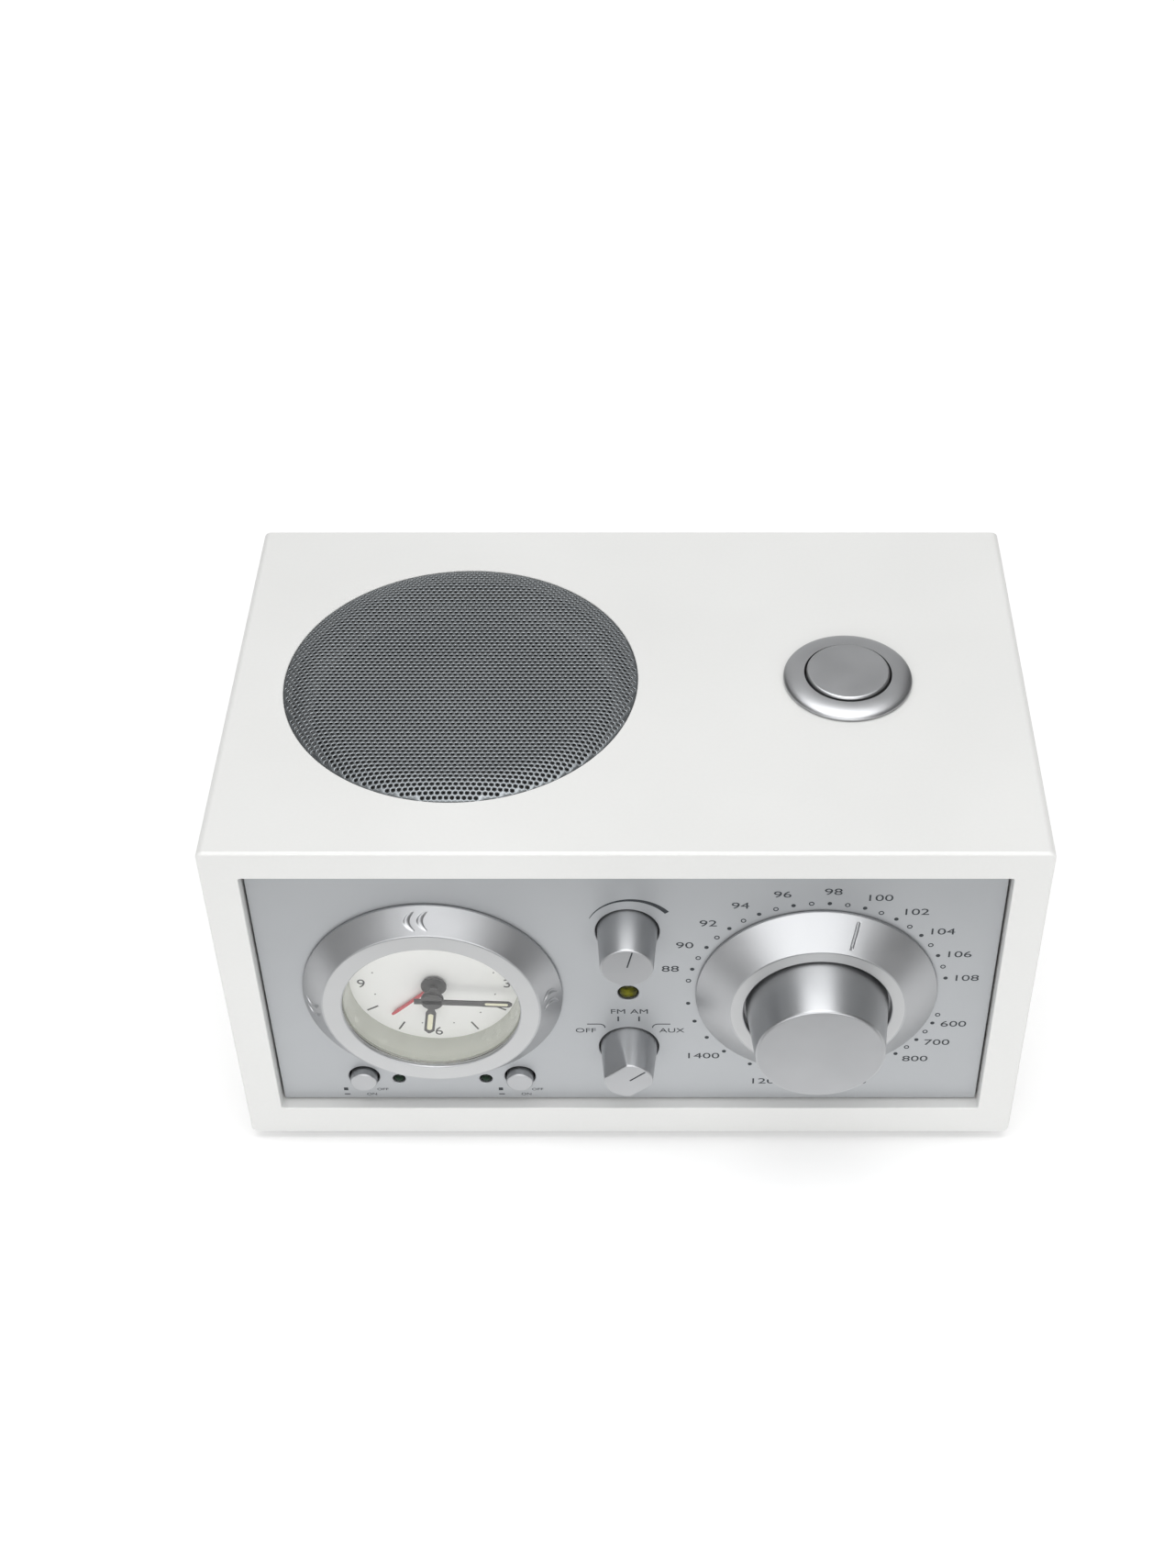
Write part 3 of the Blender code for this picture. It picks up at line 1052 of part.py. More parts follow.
def build_speaker():
    """The driver under the cabinet's top: basket, magnet, cone with its coil, and roll surround."""
    inner_base = BASKET_BASE_RADIUS - BASKET_WALL
    hole = COIL_RADIUS + 2 * COIL_GAP
    frame = [
        (FLANGE_BORE, FLANGE_TOP),
        (FLANGE_RADIUS, FLANGE_TOP),
        (FLANGE_RADIUS, FLANGE_TOP - FLANGE_THICKNESS),
        (FLANGE_BORE + BASKET_WALL, FLANGE_TOP - FLANGE_THICKNESS),
        (BASKET_BASE_RADIUS, BASKET_FLOOR),
        (BASKET_BASE_RADIUS, BASKET_BOTTOM),
        (hole, BASKET_BOTTOM),
        (hole, BASKET_FLOOR),
        (inner_base, BASKET_FLOOR),
        (FLANGE_BORE, FLANGE_TOP - FLANGE_THICKNESS - BASKET_WALL),
    ]
    turned_up("speaker_frame", "dark_steel", SPEAKER_X, MID_DEPTH, frame, LARGE_STEPS, closed=True)

    pole = COIL_RADIUS - COIL_WALL - COIL_GAP
    groove = COIL_RADIUS + COIL_GAP
    magnet = [
        (0.0, MAGNET_TOP),
        (pole, MAGNET_TOP),
        (pole, MAGNET_TOP - COIL_GROOVE_DEPTH),
        (groove, MAGNET_TOP - COIL_GROOVE_DEPTH),
        (groove, MAGNET_TOP),
        (MAGNET_RADIUS, MAGNET_TOP),
        (MAGNET_RADIUS, MAGNET_TOP - MAGNET_HEIGHT),
        (0.0, MAGNET_TOP - MAGNET_HEIGHT),
    ]
    turned_up("speaker_magnet", "ferrite", SPEAKER_X, MID_DEPTH, magnet, MID_STEPS)

    coil_end = MAGNET_TOP - COIL_ENTRY
    cap_top = CONE_THROAT_Z + DUST_CAP_RISE
    cone = [
        (0.0, cap_top),
        (COIL_RADIUS, CONE_THROAT_Z + CONE_WALL),
        (CONE_RADIUS, CONE_EDGE_Z),
        (CONE_RADIUS, CONE_EDGE_Z - CONE_WALL),
        (COIL_RADIUS, CONE_THROAT_Z - CONE_WALL),
        (COIL_RADIUS, coil_end),
        (COIL_RADIUS - COIL_WALL, coil_end),
        (COIL_RADIUS - COIL_WALL, CONE_THROAT_Z - CONE_WALL),
        (0.0, cap_top - 2 * CONE_WALL),
    ]
    turned_up("speaker_cone", "paper", SPEAKER_X, MID_DEPTH, cone, MID_STEPS)

    outer_reach = SURROUND_WIDTH / 2 - SEAT_GAP
    middle = (FLANGE_BORE + CONE_RADIUS) / 2
    turns = [math.pi * i / (SURROUND_ARC_POINTS - 1) for i in range(SURROUND_ARC_POINTS)]
    roll = [(middle - outer_reach * math.cos(a), CONE_EDGE_Z + outer_reach * math.sin(a)) for a in turns]
    inner_reach = outer_reach - SURROUND_WALL
    roll += [(middle + inner_reach * math.cos(a), CONE_EDGE_Z + inner_reach * math.sin(a)) for a in turns]
    turned_up("speaker_surround", "rubber", SPEAKER_X, MID_DEPTH, roll, MID_STEPS, closed=True)


def build_bass_port():
    """A tube through the cabinet's bottom, held by a flange on its floor."""
    bore = PORT_RADIUS - PORT_WALL
    bottom = FOOT_HEIGHT + PORT_SINK
    flange_low = FLOOR + SEAT_GAP
    flange_high = flange_low + PORT_FLANGE_THICKNESS
    profile = [
        (bore, bottom + PORT_LENGTH),
        (PORT_RADIUS, bottom + PORT_LENGTH),
        (PORT_RADIUS, flange_high),
        (PORT_FLANGE_RADIUS, flange_high),
        (PORT_FLANGE_RADIUS, flange_low),
        (PORT_RADIUS, flange_low),
        (PORT_RADIUS, bottom),
        (bore, bottom),
    ]
    turned_up("bass_port", "black_plastic", PORT_X, PORT_DEPTH, profile, MID_STEPS, closed=True)


def build_snooze():
    """The flared ring, the button that slides in it, its return spring and the switch below."""
    sleeve = SNOOZE_BORE_RADIUS + SNOOZE_SLEEVE_WALL
    flare = SNOOZE_RING_RADIUS - SNOOZE_BORE_RADIUS
    edge_top = TOP + SEAT_GAP + SNOOZE_RING_EDGE
    rise = TOP + SNOOZE_RING_RISE - edge_top
    turns = [math.pi / 2 * i / (SNOOZE_RING_ARC_POINTS - 1) for i in range(SNOOZE_RING_ARC_POINTS)]
    profile = [(SNOOZE_BORE_RADIUS + flare * math.sin(a), edge_top + rise * math.cos(a)) for a in turns]
    profile += [
        (SNOOZE_RING_RADIUS, TOP + SEAT_GAP),
        (sleeve, TOP + SEAT_GAP),
        (sleeve, SNOOZE_SLEEVE_BOTTOM),
        (SNOOZE_BORE_RADIUS, SNOOZE_SLEEVE_BOTTOM),
    ]
    turned_up("snooze_ring", "satin_aluminium", SNOOZE_X, MID_DEPTH, profile, LARGE_STEPS, closed=True)

    skirt_bottom = SNOOZE_BUTTON_TOP - SNOOZE_CAP_SKIRT
    inside = SNOOZE_BUTTON_RADIUS - SNOOZE_CAP_WALL
    post_bottom = SNOOZE_BOSS_TOP + SNOOZE_TRAVEL + SEAT_GAP
    button = [
        (0.0, SNOOZE_BUTTON_TOP),
        (SNOOZE_BUTTON_RADIUS - SNOOZE_BUTTON_EDGE, SNOOZE_BUTTON_TOP),
        (SNOOZE_BUTTON_RADIUS, SNOOZE_BUTTON_TOP - SNOOZE_BUTTON_EDGE),
        (SNOOZE_BUTTON_RADIUS, skirt_bottom),
        (inside, skirt_bottom),
        (inside, SNOOZE_CAP_UNDERSIDE),
        (SNOOZE_POST_RADIUS, SNOOZE_CAP_UNDERSIDE),
        (SNOOZE_POST_RADIUS, post_bottom),
        (0.0, post_bottom),
    ]
    turned_up("snooze_button", "satin_aluminium", SNOOZE_X, MID_DEPTH, button, MID_STEPS)

    switch = [
        (0.0, SNOOZE_BOSS_TOP),
        (SNOOZE_POST_RADIUS, SNOOZE_BOSS_TOP),
        (SNOOZE_POST_RADIUS, SNOOZE_SWITCH_TOP),
        (sleeve, SNOOZE_SWITCH_TOP),
        (sleeve, SNOOZE_SWITCH_TOP - SNOOZE_SWITCH_THICKNESS),
        (0.0, SNOOZE_SWITCH_TOP - SNOOZE_SWITCH_THICKNESS),
    ]
    turned_up("snooze_switch", "black_plastic", SNOOZE_X, MID_DEPTH, switch, MID_STEPS)
    build_spring(SNOOZE_SWITCH_TOP + SEAT_GAP + SPRING_WIRE, SNOOZE_CAP_UNDERSIDE - SEAT_GAP - SPRING_WIRE)


def build_spring(low, high):
    """A helix of steady pitch between the switch and the button's underside."""
    count = SPRING_TURNS * SPRING_POINTS_PER_TURN
    points = []
    for i in range(count + 1):
        a = 2 * math.pi * i / SPRING_POINTS_PER_TURN
        z = low + (high - low) * i / count
        points.append((SPRING_RADIUS * math.cos(a), SPRING_RADIUS * math.sin(a), z))
    curve = bpy.data.curves.new("snooze_spring", "CURVE")
    curve.dimensions = "3D"
    curve.bevel_depth = SPRING_WIRE
    curve.bevel_resolution = 1
    curve.use_fill_caps = True
    spline = curve.splines.new("POLY")
    spline.points.add(count)
    for point, (x, y, z) in zip(spline.points, points):
        point.co = (x, y, z, 1.0)
    place(bpy.data.objects.new("snooze_spring", curve), "steel", (SNOOZE_X, FRONT + MID_DEPTH, 0.0))
    pairs = zip(points, points[SPRING_POINTS_PER_TURN:])
    gap = min(math.dist(a, b) for a, b in pairs) - 2 * SPRING_WIRE
    print(f"snooze_spring: least gap between turns {gap / MM:.2f} mm")


def jack_places():
    yield "headphone_jack", HEADPHONE_X, SMALL_JACK
    yield "aux_jack", AUX_X, SMALL_JACK
    yield "antenna_jack", ANTENNA_X, ANTENNA_JACK


def build_back_panel():
    """The black plate across the back, with pillars that carry the circuit board."""
    holes = [(side * SCREW_X, z, SCREW_HOLE_RADIUS, TINY_STEPS) for side in (-1, 1) for z in SCREW_HEIGHTS]
    jack_z = FOOT_HEIGHT + JACK_HEIGHT
    holes += [(x, jack_z, jack["nose"] + SEAT_GAP, SMALL_STEPS) for _, x, jack in jack_places()]
    panel = front_plate("back_panel", "black_plastic", PANEL_EDGE_GAP, holes, BACK_INSIDE, BACK_FACE)
    half_width, half_height = [side / 2 + SEAT_GAP for side in INLET_COLLAR]
    inlet_z = FOOT_HEIGHT + INLET_HEIGHT
    low = (INLET_X - half_width, BACK_INSIDE - EMBED, inlet_z - half_height)
    high = (INLET_X + half_width, BACK_FACE + EMBED, inlet_z + half_height)
    cut(panel, box("inlet_hole", None, low, high))
    reach = BOARD_WIDTH / 2 - BOARD_PILLAR_INSET
    for x in (-reach, reach):
        for z in (BOARD_LOW + BOARD_PILLAR_INSET, BOARD_HIGH - BOARD_PILLAR_INSET):
            name = f"board_pillar_{len(panel.modifiers)}"
            pillar = rod_front(
                name, None, x, z, BOARD_PILLAR_RADIUS, BEHIND_BOARD, BACK_INSIDE + EMBED, TINY_STEPS
            )
            fuse(panel, pillar)


def build_back_screws():
    head_front = BACK_FACE + SEAT_GAP
    head_back = head_front + SCREW_HEAD_HEIGHT
    profile = [
        (0.0, head_front - SCREW_LENGTH),
        (SCREW_RADIUS, head_front - SCREW_LENGTH),
        (SCREW_RADIUS, head_front),
        (SCREW_HEAD_RADIUS, head_front),
        (SCREW_HEAD_RADIUS, head_back),
        (0.0, head_back),
    ]
    for side_name, side in (("left", -1), ("right", 1)):
        for level_name, z in zip(("low", "high"), SCREW_HEIGHTS):
            name = f"back_screw_{side_name}_{level_name}"
            turned_front(name, "dark_steel", side * SCREW_X, z, profile, TINY_STEPS)


def build_main_board():
    """The circuit board on the back panel's pillars, with two cradles for the aerial rod."""
    half = BOARD_WIDTH / 2
    board = box("main_board", "board_green", (-half, BOARD_FRONT, BOARD_LOW), (half, BOARD_BACK, BOARD_HIGH))
    rod_bottom = FERRITE_Z - FERRITE_RADIUS
    for side in (-1, 1):
        x = FERRITE_X + side * CRADLE_SPREAD
        low = (x - CRADLE_WIDTH / 2, FERRITE_DEPTH - FERRITE_RADIUS, rod_bottom - SEAT_GAP - CRADLE_HEIGHT)
        high = (x + CRADLE_WIDTH / 2, BOARD_FRONT + BOARD_THICKNESS / 2, rod_bottom - SEAT_GAP)
        fuse(board, box(f"cradle_{side + 1}", None, low, high))
    rod = extruded("ferrite_rod", [circle(FERRITE_RADIUS, TINY_STEPS)], FERRITE_LENGTH)
    place(rod, "ferrite", (FERRITE_X, FRONT + FERRITE_DEPTH, FERRITE_Z), (0.0, math.pi / 2, 0.0))


def build_jacks():
    """Round sockets on the board that reach through the back panel."""
    body_back = BACK_INSIDE - SEAT_GAP
    for name, x, jack in jack_places():
        mouth = BACK_FACE + jack["reach"]
        profile = [
            (0.0, BEHIND_BOARD),
            (jack["body"], BEHIND_BOARD),
            (jack["body"], body_back),
            (jack["nose"], body_back),
            (jack["nose"], mouth),
            (jack["bore"], mouth),
            (jack["bore"], mouth - jack["depth"]),
            (0.0, mouth - jack["depth"]),
        ]
        turned_front(name, "steel", x, FOOT_HEIGHT + JACK_HEIGHT, profile, SMALL_STEPS)


def inlet_block(name, finish, size, start, end):
    """A block of (width, height) about the inlet's middle, between two depths."""
    z = FOOT_HEIGHT + INLET_HEIGHT
    low = (INLET_X - size[0] / 2, start, z - size[1] / 2)
    high = (INLET_X + size[0] / 2, end, z + size[1] / 2)
    return box(name, finish, low, high)


def build_mains_inlet():
    """A two-pin socket for a mains lead: a body on the board, a collar through the panel, and the pins."""
    body_back = BACK_INSIDE - SEAT_GAP
    socket_floor = BACK_FACE - INLET_SOCKET_DEPTH
    inlet = inlet_block("mains_inlet", "black_plastic", INLET_BODY, BEHIND_BOARD, body_back)
    fuse(inlet, inlet_block("inlet_collar", None, INLET_COLLAR, body_back - EMBED, BACK_FACE))
    cut(inlet, inlet_block("inlet_socket", None, INLET_SOCKET, socket_floor, BACK_FACE + EMBED))
    for side in (-1, 1):
        pin = rod_front(
            f"inlet_pin_{side + 1}", None, INLET_X + side * INLET_PIN_SPREAD, FOOT_HEIGHT + INLET_HEIGHT,
            INLET_PIN_RADIUS, socket_floor - EMBED, BACK_FACE - INLET_PIN_SINK, TINY_STEPS,
        )
        fuse(inlet, pin)


def build_transformer():
    """A laminated core standing on the cabinet's floor, with its windings front and back."""
    low_z = FLOOR + SEAT_GAP
    middle_z = low_z + TRANSFORMER_CORE[2] / 2
    low = (TRANSFORMER_X - TRANSFORMER_CORE[0] / 2, TRANSFORMER_DEPTH - TRANSFORMER_CORE[1] / 2, low_z)
    high = [a + size for a, size in zip(low, TRANSFORMER_CORE)]
    core = box("power_transformer", "dark_steel", low, high)
    middle = (TRANSFORMER_X, TRANSFORMER_DEPTH, middle_z)
    coil_low = [m - size / 2 for m, size in zip(middle, TRANSFORMER_COIL)]
    coil_high = [m + size / 2 for m, size in zip(middle, TRANSFORMER_COIL)]
    fuse(core, box("transformer_coil", None, coil_low, coil_high))


def shade_round_pieces():
    for obj in parts.objects:
        if obj.type == "MESH":
            obj.data.shade_smooth()
            obj.data.set_sharp_from_angle(angle=math.radians(35.0))


def main():
    clear_scene()
    build_cabinet()
    build_feet()
    build_front_panel()
    build_front_chassis()
    build_clock_case()
    build_clock_movement()
    build_clock_hands()
    build_tuning_dial()
    build_reduction()
    build_gearbox_plate()
    build_control("volume_knob", "volume_shaft", "volume_potentiometer", VOLUME)
    cut_flats(build_control("source_knob", "source_shaft", "source_switch", SOURCE), SOURCE)
    build_buttons()
    build_leds()
    build_grille()
    build_speaker()
    build_bass_port()
    build_snooze()
    build_back_panel()
    build_back_screws()
    build_main_board()
    build_jacks()
    build_mains_inlet()
    build_transformer()
    shade_round_pieces()


main()
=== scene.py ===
"""Looks of the table clock radio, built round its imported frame.

Lengths are in millimetres until a mesh is made. A point is (x, depth, z): x runs to the right, a depth
runs back from the cabinet's front face and z runs up from the floor. An angle on the front runs
clockwise from the top, as on a clock.
"""

import json
import math
from types import SimpleNamespace

import bmesh
import bpy
import numpy as np
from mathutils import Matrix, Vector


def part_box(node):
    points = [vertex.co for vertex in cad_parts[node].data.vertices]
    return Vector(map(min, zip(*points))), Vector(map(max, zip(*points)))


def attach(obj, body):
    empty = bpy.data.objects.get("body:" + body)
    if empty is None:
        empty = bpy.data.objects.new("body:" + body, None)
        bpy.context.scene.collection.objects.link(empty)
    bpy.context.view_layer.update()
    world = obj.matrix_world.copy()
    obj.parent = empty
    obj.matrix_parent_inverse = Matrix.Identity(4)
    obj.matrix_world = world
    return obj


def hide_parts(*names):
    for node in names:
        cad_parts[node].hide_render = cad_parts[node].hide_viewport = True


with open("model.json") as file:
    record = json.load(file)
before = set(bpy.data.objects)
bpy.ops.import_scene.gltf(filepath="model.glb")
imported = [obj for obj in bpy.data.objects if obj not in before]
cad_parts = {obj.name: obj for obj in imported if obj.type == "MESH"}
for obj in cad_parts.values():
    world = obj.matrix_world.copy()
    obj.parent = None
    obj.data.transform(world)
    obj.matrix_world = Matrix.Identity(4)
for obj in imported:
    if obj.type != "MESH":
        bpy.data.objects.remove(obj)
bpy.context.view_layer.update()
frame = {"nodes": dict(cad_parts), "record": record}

MM = 0.001
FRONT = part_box("cabinet")[0].y / MM

# How finely a piece is drawn
SEGMENTS = 160
FINE_SEGMENTS = 240
CIRCLE_POINTS = 96
CORNER_STEPS = 8
FILLET_LEAST = 5
FILLET_RATE = 4
FILLET_MORE = 10
LETTER_STEPS = 5
SUPPORT = 0.05
MERGE = 1e-4
SHARP = math.radians(38)


# Reading the frame


def reach(node):
    """A CAD node's box in millimetres: its middle, half its width as a radius, and its six faces."""
    low, high = (np.array(corner) / MM - (0.0, FRONT, 0.0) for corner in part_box(node))
    middle = (low + high) / 2
    return SimpleNamespace(
        x=middle[0], depth=middle[1], z=middle[2], radius=(high[0] - low[0]) / 2,
        left=low[0], right=high[0], near=low[1], far=high[1], bottom=low[2], top=high[2],
    )


CABINET = reach("cabinet")
PANEL = reach("front_panel")
BACK = reach("back_panel")
CLOCK = reach("clock_bezel")
LENS = reach("clock_lens")
CUP = reach("clock_dial")
RING = reach("dial_ring")
TUNER = reach("tuning_knob")
VOLUME = reach("volume_knob")
SOURCE = reach("source_knob")
GRILLE = reach("speaker_grille")
SNOOZE = reach("snooze_ring")
PORT = reach("bass_port")


# Shapes: each is (points, faces), with points in millimetres


def fillet_arc(spot, before, after, radius):
    """The arc that touches both sides of a corner. Its ends lie radius over the tangent of half the
    corner's angle along each side, and the points between turn one touching radius into the other at
    a steady rate. A support point beyond each end keeps the flats beside it flat."""
    toward_before = before / np.linalg.norm(before)
    toward_after = after / np.linalg.norm(after)
    half = math.acos(np.clip(toward_before @ toward_after, -1, 1)) / 2
    start = spot + toward_before * radius / math.tan(half)
    end = spot + toward_after * radius / math.tan(half)
    middle = toward_before + toward_after
    centre = spot + middle / np.linalg.norm(middle) * radius / math.sin(half)
    sweep = math.pi - 2 * half
    count = FILLET_LEAST + min(int(FILLET_RATE * radius), FILLET_MORE)
    share = np.linspace(0, 1, count)[:, None]
    from_start = np.sin((1 - share) * sweep) * (start - centre)
    from_end = np.sin(share * sweep) * (end - centre)
    arc = centre + (from_start + from_end) / math.sin(sweep)
    return np.vstack([start + toward_before * SUPPORT, arc, end + toward_after * SUPPORT])


def outline(corners, closed=False):
    """A profile through corners of (radius, along), with two more values where they are wanted: the
    corner's fillet, and the number of points added on the straight stretch that follows."""
    spots = np.array([corner[:2] for corner in corners], float)
    stretches = []
    run = 0
    for index, corner in enumerate(corners):
        fillet = corner[2] if len(corner) > 2 else 0.0
        spot = spots[index]
        is_end = not closed and index in (0, len(corners) - 1)
        points = spot[None]
        if fillet and not is_end:
            following = spots[(index + 1) % len(spots)]
            points = fillet_arc(spot, spots[index - 1] - spot, following - spot, fillet)
        if run:
            stretches.append(np.linspace(stretches[-1][-1], points[0], run + 2)[1:-1])
        stretches.append(points)
        run = corner[3] if len(corner) > 3 else 0
    return np.vstack(stretches)


def grid_faces(rows, columns, wrap_rows=False, wrap_columns=True):
    """Quads between neighbouring rows and columns of a grid, whose last row or column may join the
    first."""
    row = np.arange(rows if wrap_rows else rows - 1)[:, None]
    column = np.arange(columns if wrap_columns else columns - 1)[None]
    next_row = (row + 1) % rows
    next_column = (column + 1) % columns
    corners = [
        row * columns + column,
        row * columns + next_column,
        next_row * columns + next_column,
        next_row * columns + column,
    ]
    return list(np.stack(np.broadcast_arrays(*corners), -1).reshape(-1, 4))


def around_front(axis):
    """Places (radius, along, angle) on a front-to-back axis: the angle turns clockwise from the top."""
    def place(radius, along, angle):
        across = axis.x + radius * np.sin(angle)
        up = axis.z + radius * np.cos(angle)
        return np.stack(np.broadcast_arrays(across, along, up), -1).reshape(-1, 3)
    return place


def around_upright(axis):
    """Places (radius, along, angle) on an upright axis: the angle turns from the front to the right."""
    def place(radius, along, angle):
        across = axis.x + radius * np.sin(angle)
        back = axis.depth - radius * np.cos(angle)
        return np.stack(np.broadcast_arrays(across, back, along), -1).reshape(-1, 3)
    return place


def full_turn(segments=SEGMENTS):
    """Equal angles once round."""
    return np.linspace(0, 2 * math.pi, segments, endpoint=False)


def quarter_turn(count):
    """Equal angles over a quarter turn, both ends among them."""
    return np.linspace(0, math.pi / 2, count)


def turned(profile, place, closed=False, segments=SEGMENTS):
    """Surface of revolution: the profile's (radius, along) at row t, taken round to the angle of column
    s."""
    points = place(profile[:, :1], profile[:, 1:], full_turn(segments)[None])
    return points, grid_faces(len(profile), segments, wrap_rows=closed)


def turned_about(axis, corners, closed=False, segments=SEGMENTS, place=around_front):
    """A profile through corners, turned about an axis that place lays from front to back or upright."""
    return turned(outline(corners, closed), place(axis), closed, segments)


def joined(*shapes):
    """Several shapes as one: the points in a row, and each shape's faces counted on from the points
    before it."""
    points = np.vstack([shape[0] for shape in shapes])
    starts = np.cumsum([0] + [len(shape[0]) for shape in shapes])
    faces = [np.asarray(face) + start for shape, start in zip(shapes, starts) for face in shape[1]]
    return points, faces


def circle(x, z, radius, count=CIRCLE_POINTS):
    """Points at equal angles on a circle of the front, as a closed loop of (x, z)."""
    angle = full_turn(count)
    return np.column_stack([x + radius * np.sin(angle), z + radius * np.cos(angle)])


def rounded_loop(left, right, low, high, corner):
    """Rectangle of (x, z) whose corners are quarter circles."""
    turn = quarter_turn(CORNER_STEPS + 1)
    quarters = np.arange(4)[:, None] * math.pi / 2
    angle = (quarters + turn).ravel()
    middle = np.repeat(quarters.ravel() + math.pi / 4, len(turn))
    x = np.where(np.cos(middle) > 0, right - corner, left + corner) + corner * np.cos(angle)
    z = np.where(np.sin(middle) > 0, high - corner, low + corner) + corner * np.sin(angle)
    return np.column_stack([x, z])


def at_angle(axis, radius, angle):
    """Point (x, z) of the front at a radius from an axis and a clock angle in degrees."""
    turn = math.radians(angle)
    return axis.x + radius * math.sin(turn), axis.z + radius * math.cos(turn)


def strip(path, width):
    """A line of (x, z) points given a width: the path moved half the width to one side, and back along
    the other."""
    along = np.gradient(path, axis=0)
    side = np.column_stack([-along[:, 1], along[:, 0]]) / np.linalg.norm(along, axis=1)[:, None]
    half = side * width / 2
    return np.vstack([path + half, (path - half)[::-1]])


def swung(loop, angle, axis):
    """A loop drawn upright about the origin, turned clockwise by an angle and moved to an axis on the
    front."""
    turn = math.radians(angle)
    x = loop[:, 0] * math.cos(turn) + loop[:, 1] * math.sin(turn)
    z = loop[:, 1] * math.cos(turn) - loop[:, 0] * math.sin(turn)
    return np.column_stack([axis.x + x, axis.z + z])


def flat_mesh(curve):
    """A flat curve's filled mesh as (points, faces), in the curve's own plane."""
    holder = bpy.data.objects.new("flat", curve)
    bpy.context.scene.collection.objects.link(holder)
    evaluated = holder.evaluated_get(bpy.context.evaluated_depsgraph_get())
    mesh = bpy.data.meshes.new_from_object(evaluated)
    points = np.empty(len(mesh.vertices) * 3)
    mesh.vertices.foreach_get("co", points)
    corners = np.empty(len(mesh.loops), int)
    mesh.loops.foreach_get("vertex_index", corners)
    starts = np.empty(len(mesh.polygons), int)
    mesh.polygons.foreach_get("loop_start", starts)
    bpy.data.objects.remove(holder)
    bpy.data.meshes.remove(mesh)
    bpy.data.curves.remove(curve)
    return points.reshape(-1, 3), np.split(corners, starts[1:])


def plate(loops, near, far, chamfer=0.0):
    """A flat plate on the front: closed loops of (x, z), where a loop inside another is a hole, given a
    thickness from near to far in depth, and a chamfer round every edge."""
    curve = bpy.data.curves.new("plate", "CURVE")
    curve.dimensions = "2D"
    curve.fill_mode = "BOTH"
    curve.extrude = (far - near) / 2 - chamfer
    curve.bevel_depth = chamfer
    curve.bevel_resolution = 0
    curve.offset = -chamfer
    for loop in loops:
        spline = curve.splines.new("POLY")
        spline.points.add(len(loop) - 1)
        flat = np.column_stack([loop, np.zeros(len(loop)), np.ones(len(loop))])
        spline.points.foreach_set("co", flat.ravel())
        spline.use_cyclic_u = True
    points, faces = flat_mesh(curve)
    return np.column_stack([points[:, 0], (near + far) / 2 - points[:, 2], points[:, 1]]), faces


def word(text, height, stretch, x, z, near, far):
    """Lettering on the front: the outline of a word, scaled to a height, widened and centred on (x, z)."""
    curve = bpy.data.curves.new("word", "FONT")
    curve.body = text
    curve.extrude = 0.5
    curve.resolution_u = LETTER_STEPS
    points, faces = flat_mesh(curve)
    flat = points[:, :2]
    low, high = flat.min(axis=0), flat.max(axis=0)
    scale = height / (high - low)[1]
    flat = (flat - (low + high) / 2) * scale * (stretch, 1.0) + (x, z)
    depth = near + (far - near) * (0.5 - points[:, 2])
    return np.column_stack([flat[:, 0], depth, flat[:, 1]]), faces


# Making a piece


def new_object(name, shape, material, groove=None):
    """Puts a shape into a mesh in metres, merges its doubles, turns its faces outwards and shades it
    smooth up to the sharp angle. The groove, one number a point, is kept as an attribute for the
    finish to read."""
    points, faces = shape
    mesh = bpy.data.meshes.new(name)
    mesh.from_pydata((points + (0.0, FRONT, 0.0)) * MM, [], faces)
    if groove is not None:
        mesh.attributes.new("groove", "FLOAT", "POINT").data.foreach_set("value", groove.ravel())
    draft = bmesh.new()
    draft.from_mesh(mesh)
    bmesh.ops.remove_doubles(draft, verts=draft.verts, dist=MERGE * MM)
    bmesh.ops.recalc_face_normals(draft, faces=draft.faces)
    draft.to_mesh(mesh)
    draft.free()
    mesh.shade_smooth()
    mesh.set_sharp_from_angle(angle=SHARP)
    mesh.materials.append(material)
    made = bpy.data.objects.new(name, mesh)
    bpy.context.scene.collection.objects.link(made)
    return made


def piece(name, shape, finish, body, slot, *nodes, groove=None):
    """A finished piece: it rides on a body, takes a finish and stands for the CAD nodes that are named. Its
    slot is not used."""
    made = new_object(name, shape, FINISH[finish], groove)
    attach(made, body)
    if nodes:
        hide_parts(*nodes)
    return made


def cut(target, *cutters):
    """Takes the cutters out of a piece. The cut faces keep the cutter's own finish, and the cutters are
    removed."""
    for cutter in cutters:
        hole = target.modifiers.new("hole", "BOOLEAN")
        hole.object = cutter
        hole.material_mode = "TRANSFER"
    evaluated = target.evaluated_get(bpy.context.evaluated_depsgraph_get())
    mesh = bpy.data.meshes.new_from_object(evaluated)
    target.modifiers.clear()
    target.data = mesh
    mesh.set_sharp_from_angle(angle=SHARP)
    for cutter in cutters:
        bpy.data.objects.remove(cutter)
    return target


# Finishes


TURNING = 0.54
TURNED_SIDES = (0.4, 0.8)
NOISE_SPAN = (0.3, 0.7)
NOISE_DETAIL = 3.0
SPECK = 0.2
# Dark colour mixed into cuts: fill paint in the index cuts, and painted shade in them and in the bezel's
# scoops
FILL_PAINT_AND_SHADE = (0.05, 0.05, 0.055)
CLEAR_BLOTCH = 6.0
CLEAR_ROUGH = (0.015, 0.04)
TRACK_PITCH = 9.0
TRACK_WIDE = 0.03
TRACK_HIGH = 0.05
BOARD_BLOTCH = 3.0
BOARD_ROUGH = (0.3, 0.5)
LAMP_BLOTCH = 1.0
LAMP_MOTTLE = 0.2
LAMP_GRAIN = 0.8
LAMP_ROUGH = (0.16, 0.26)


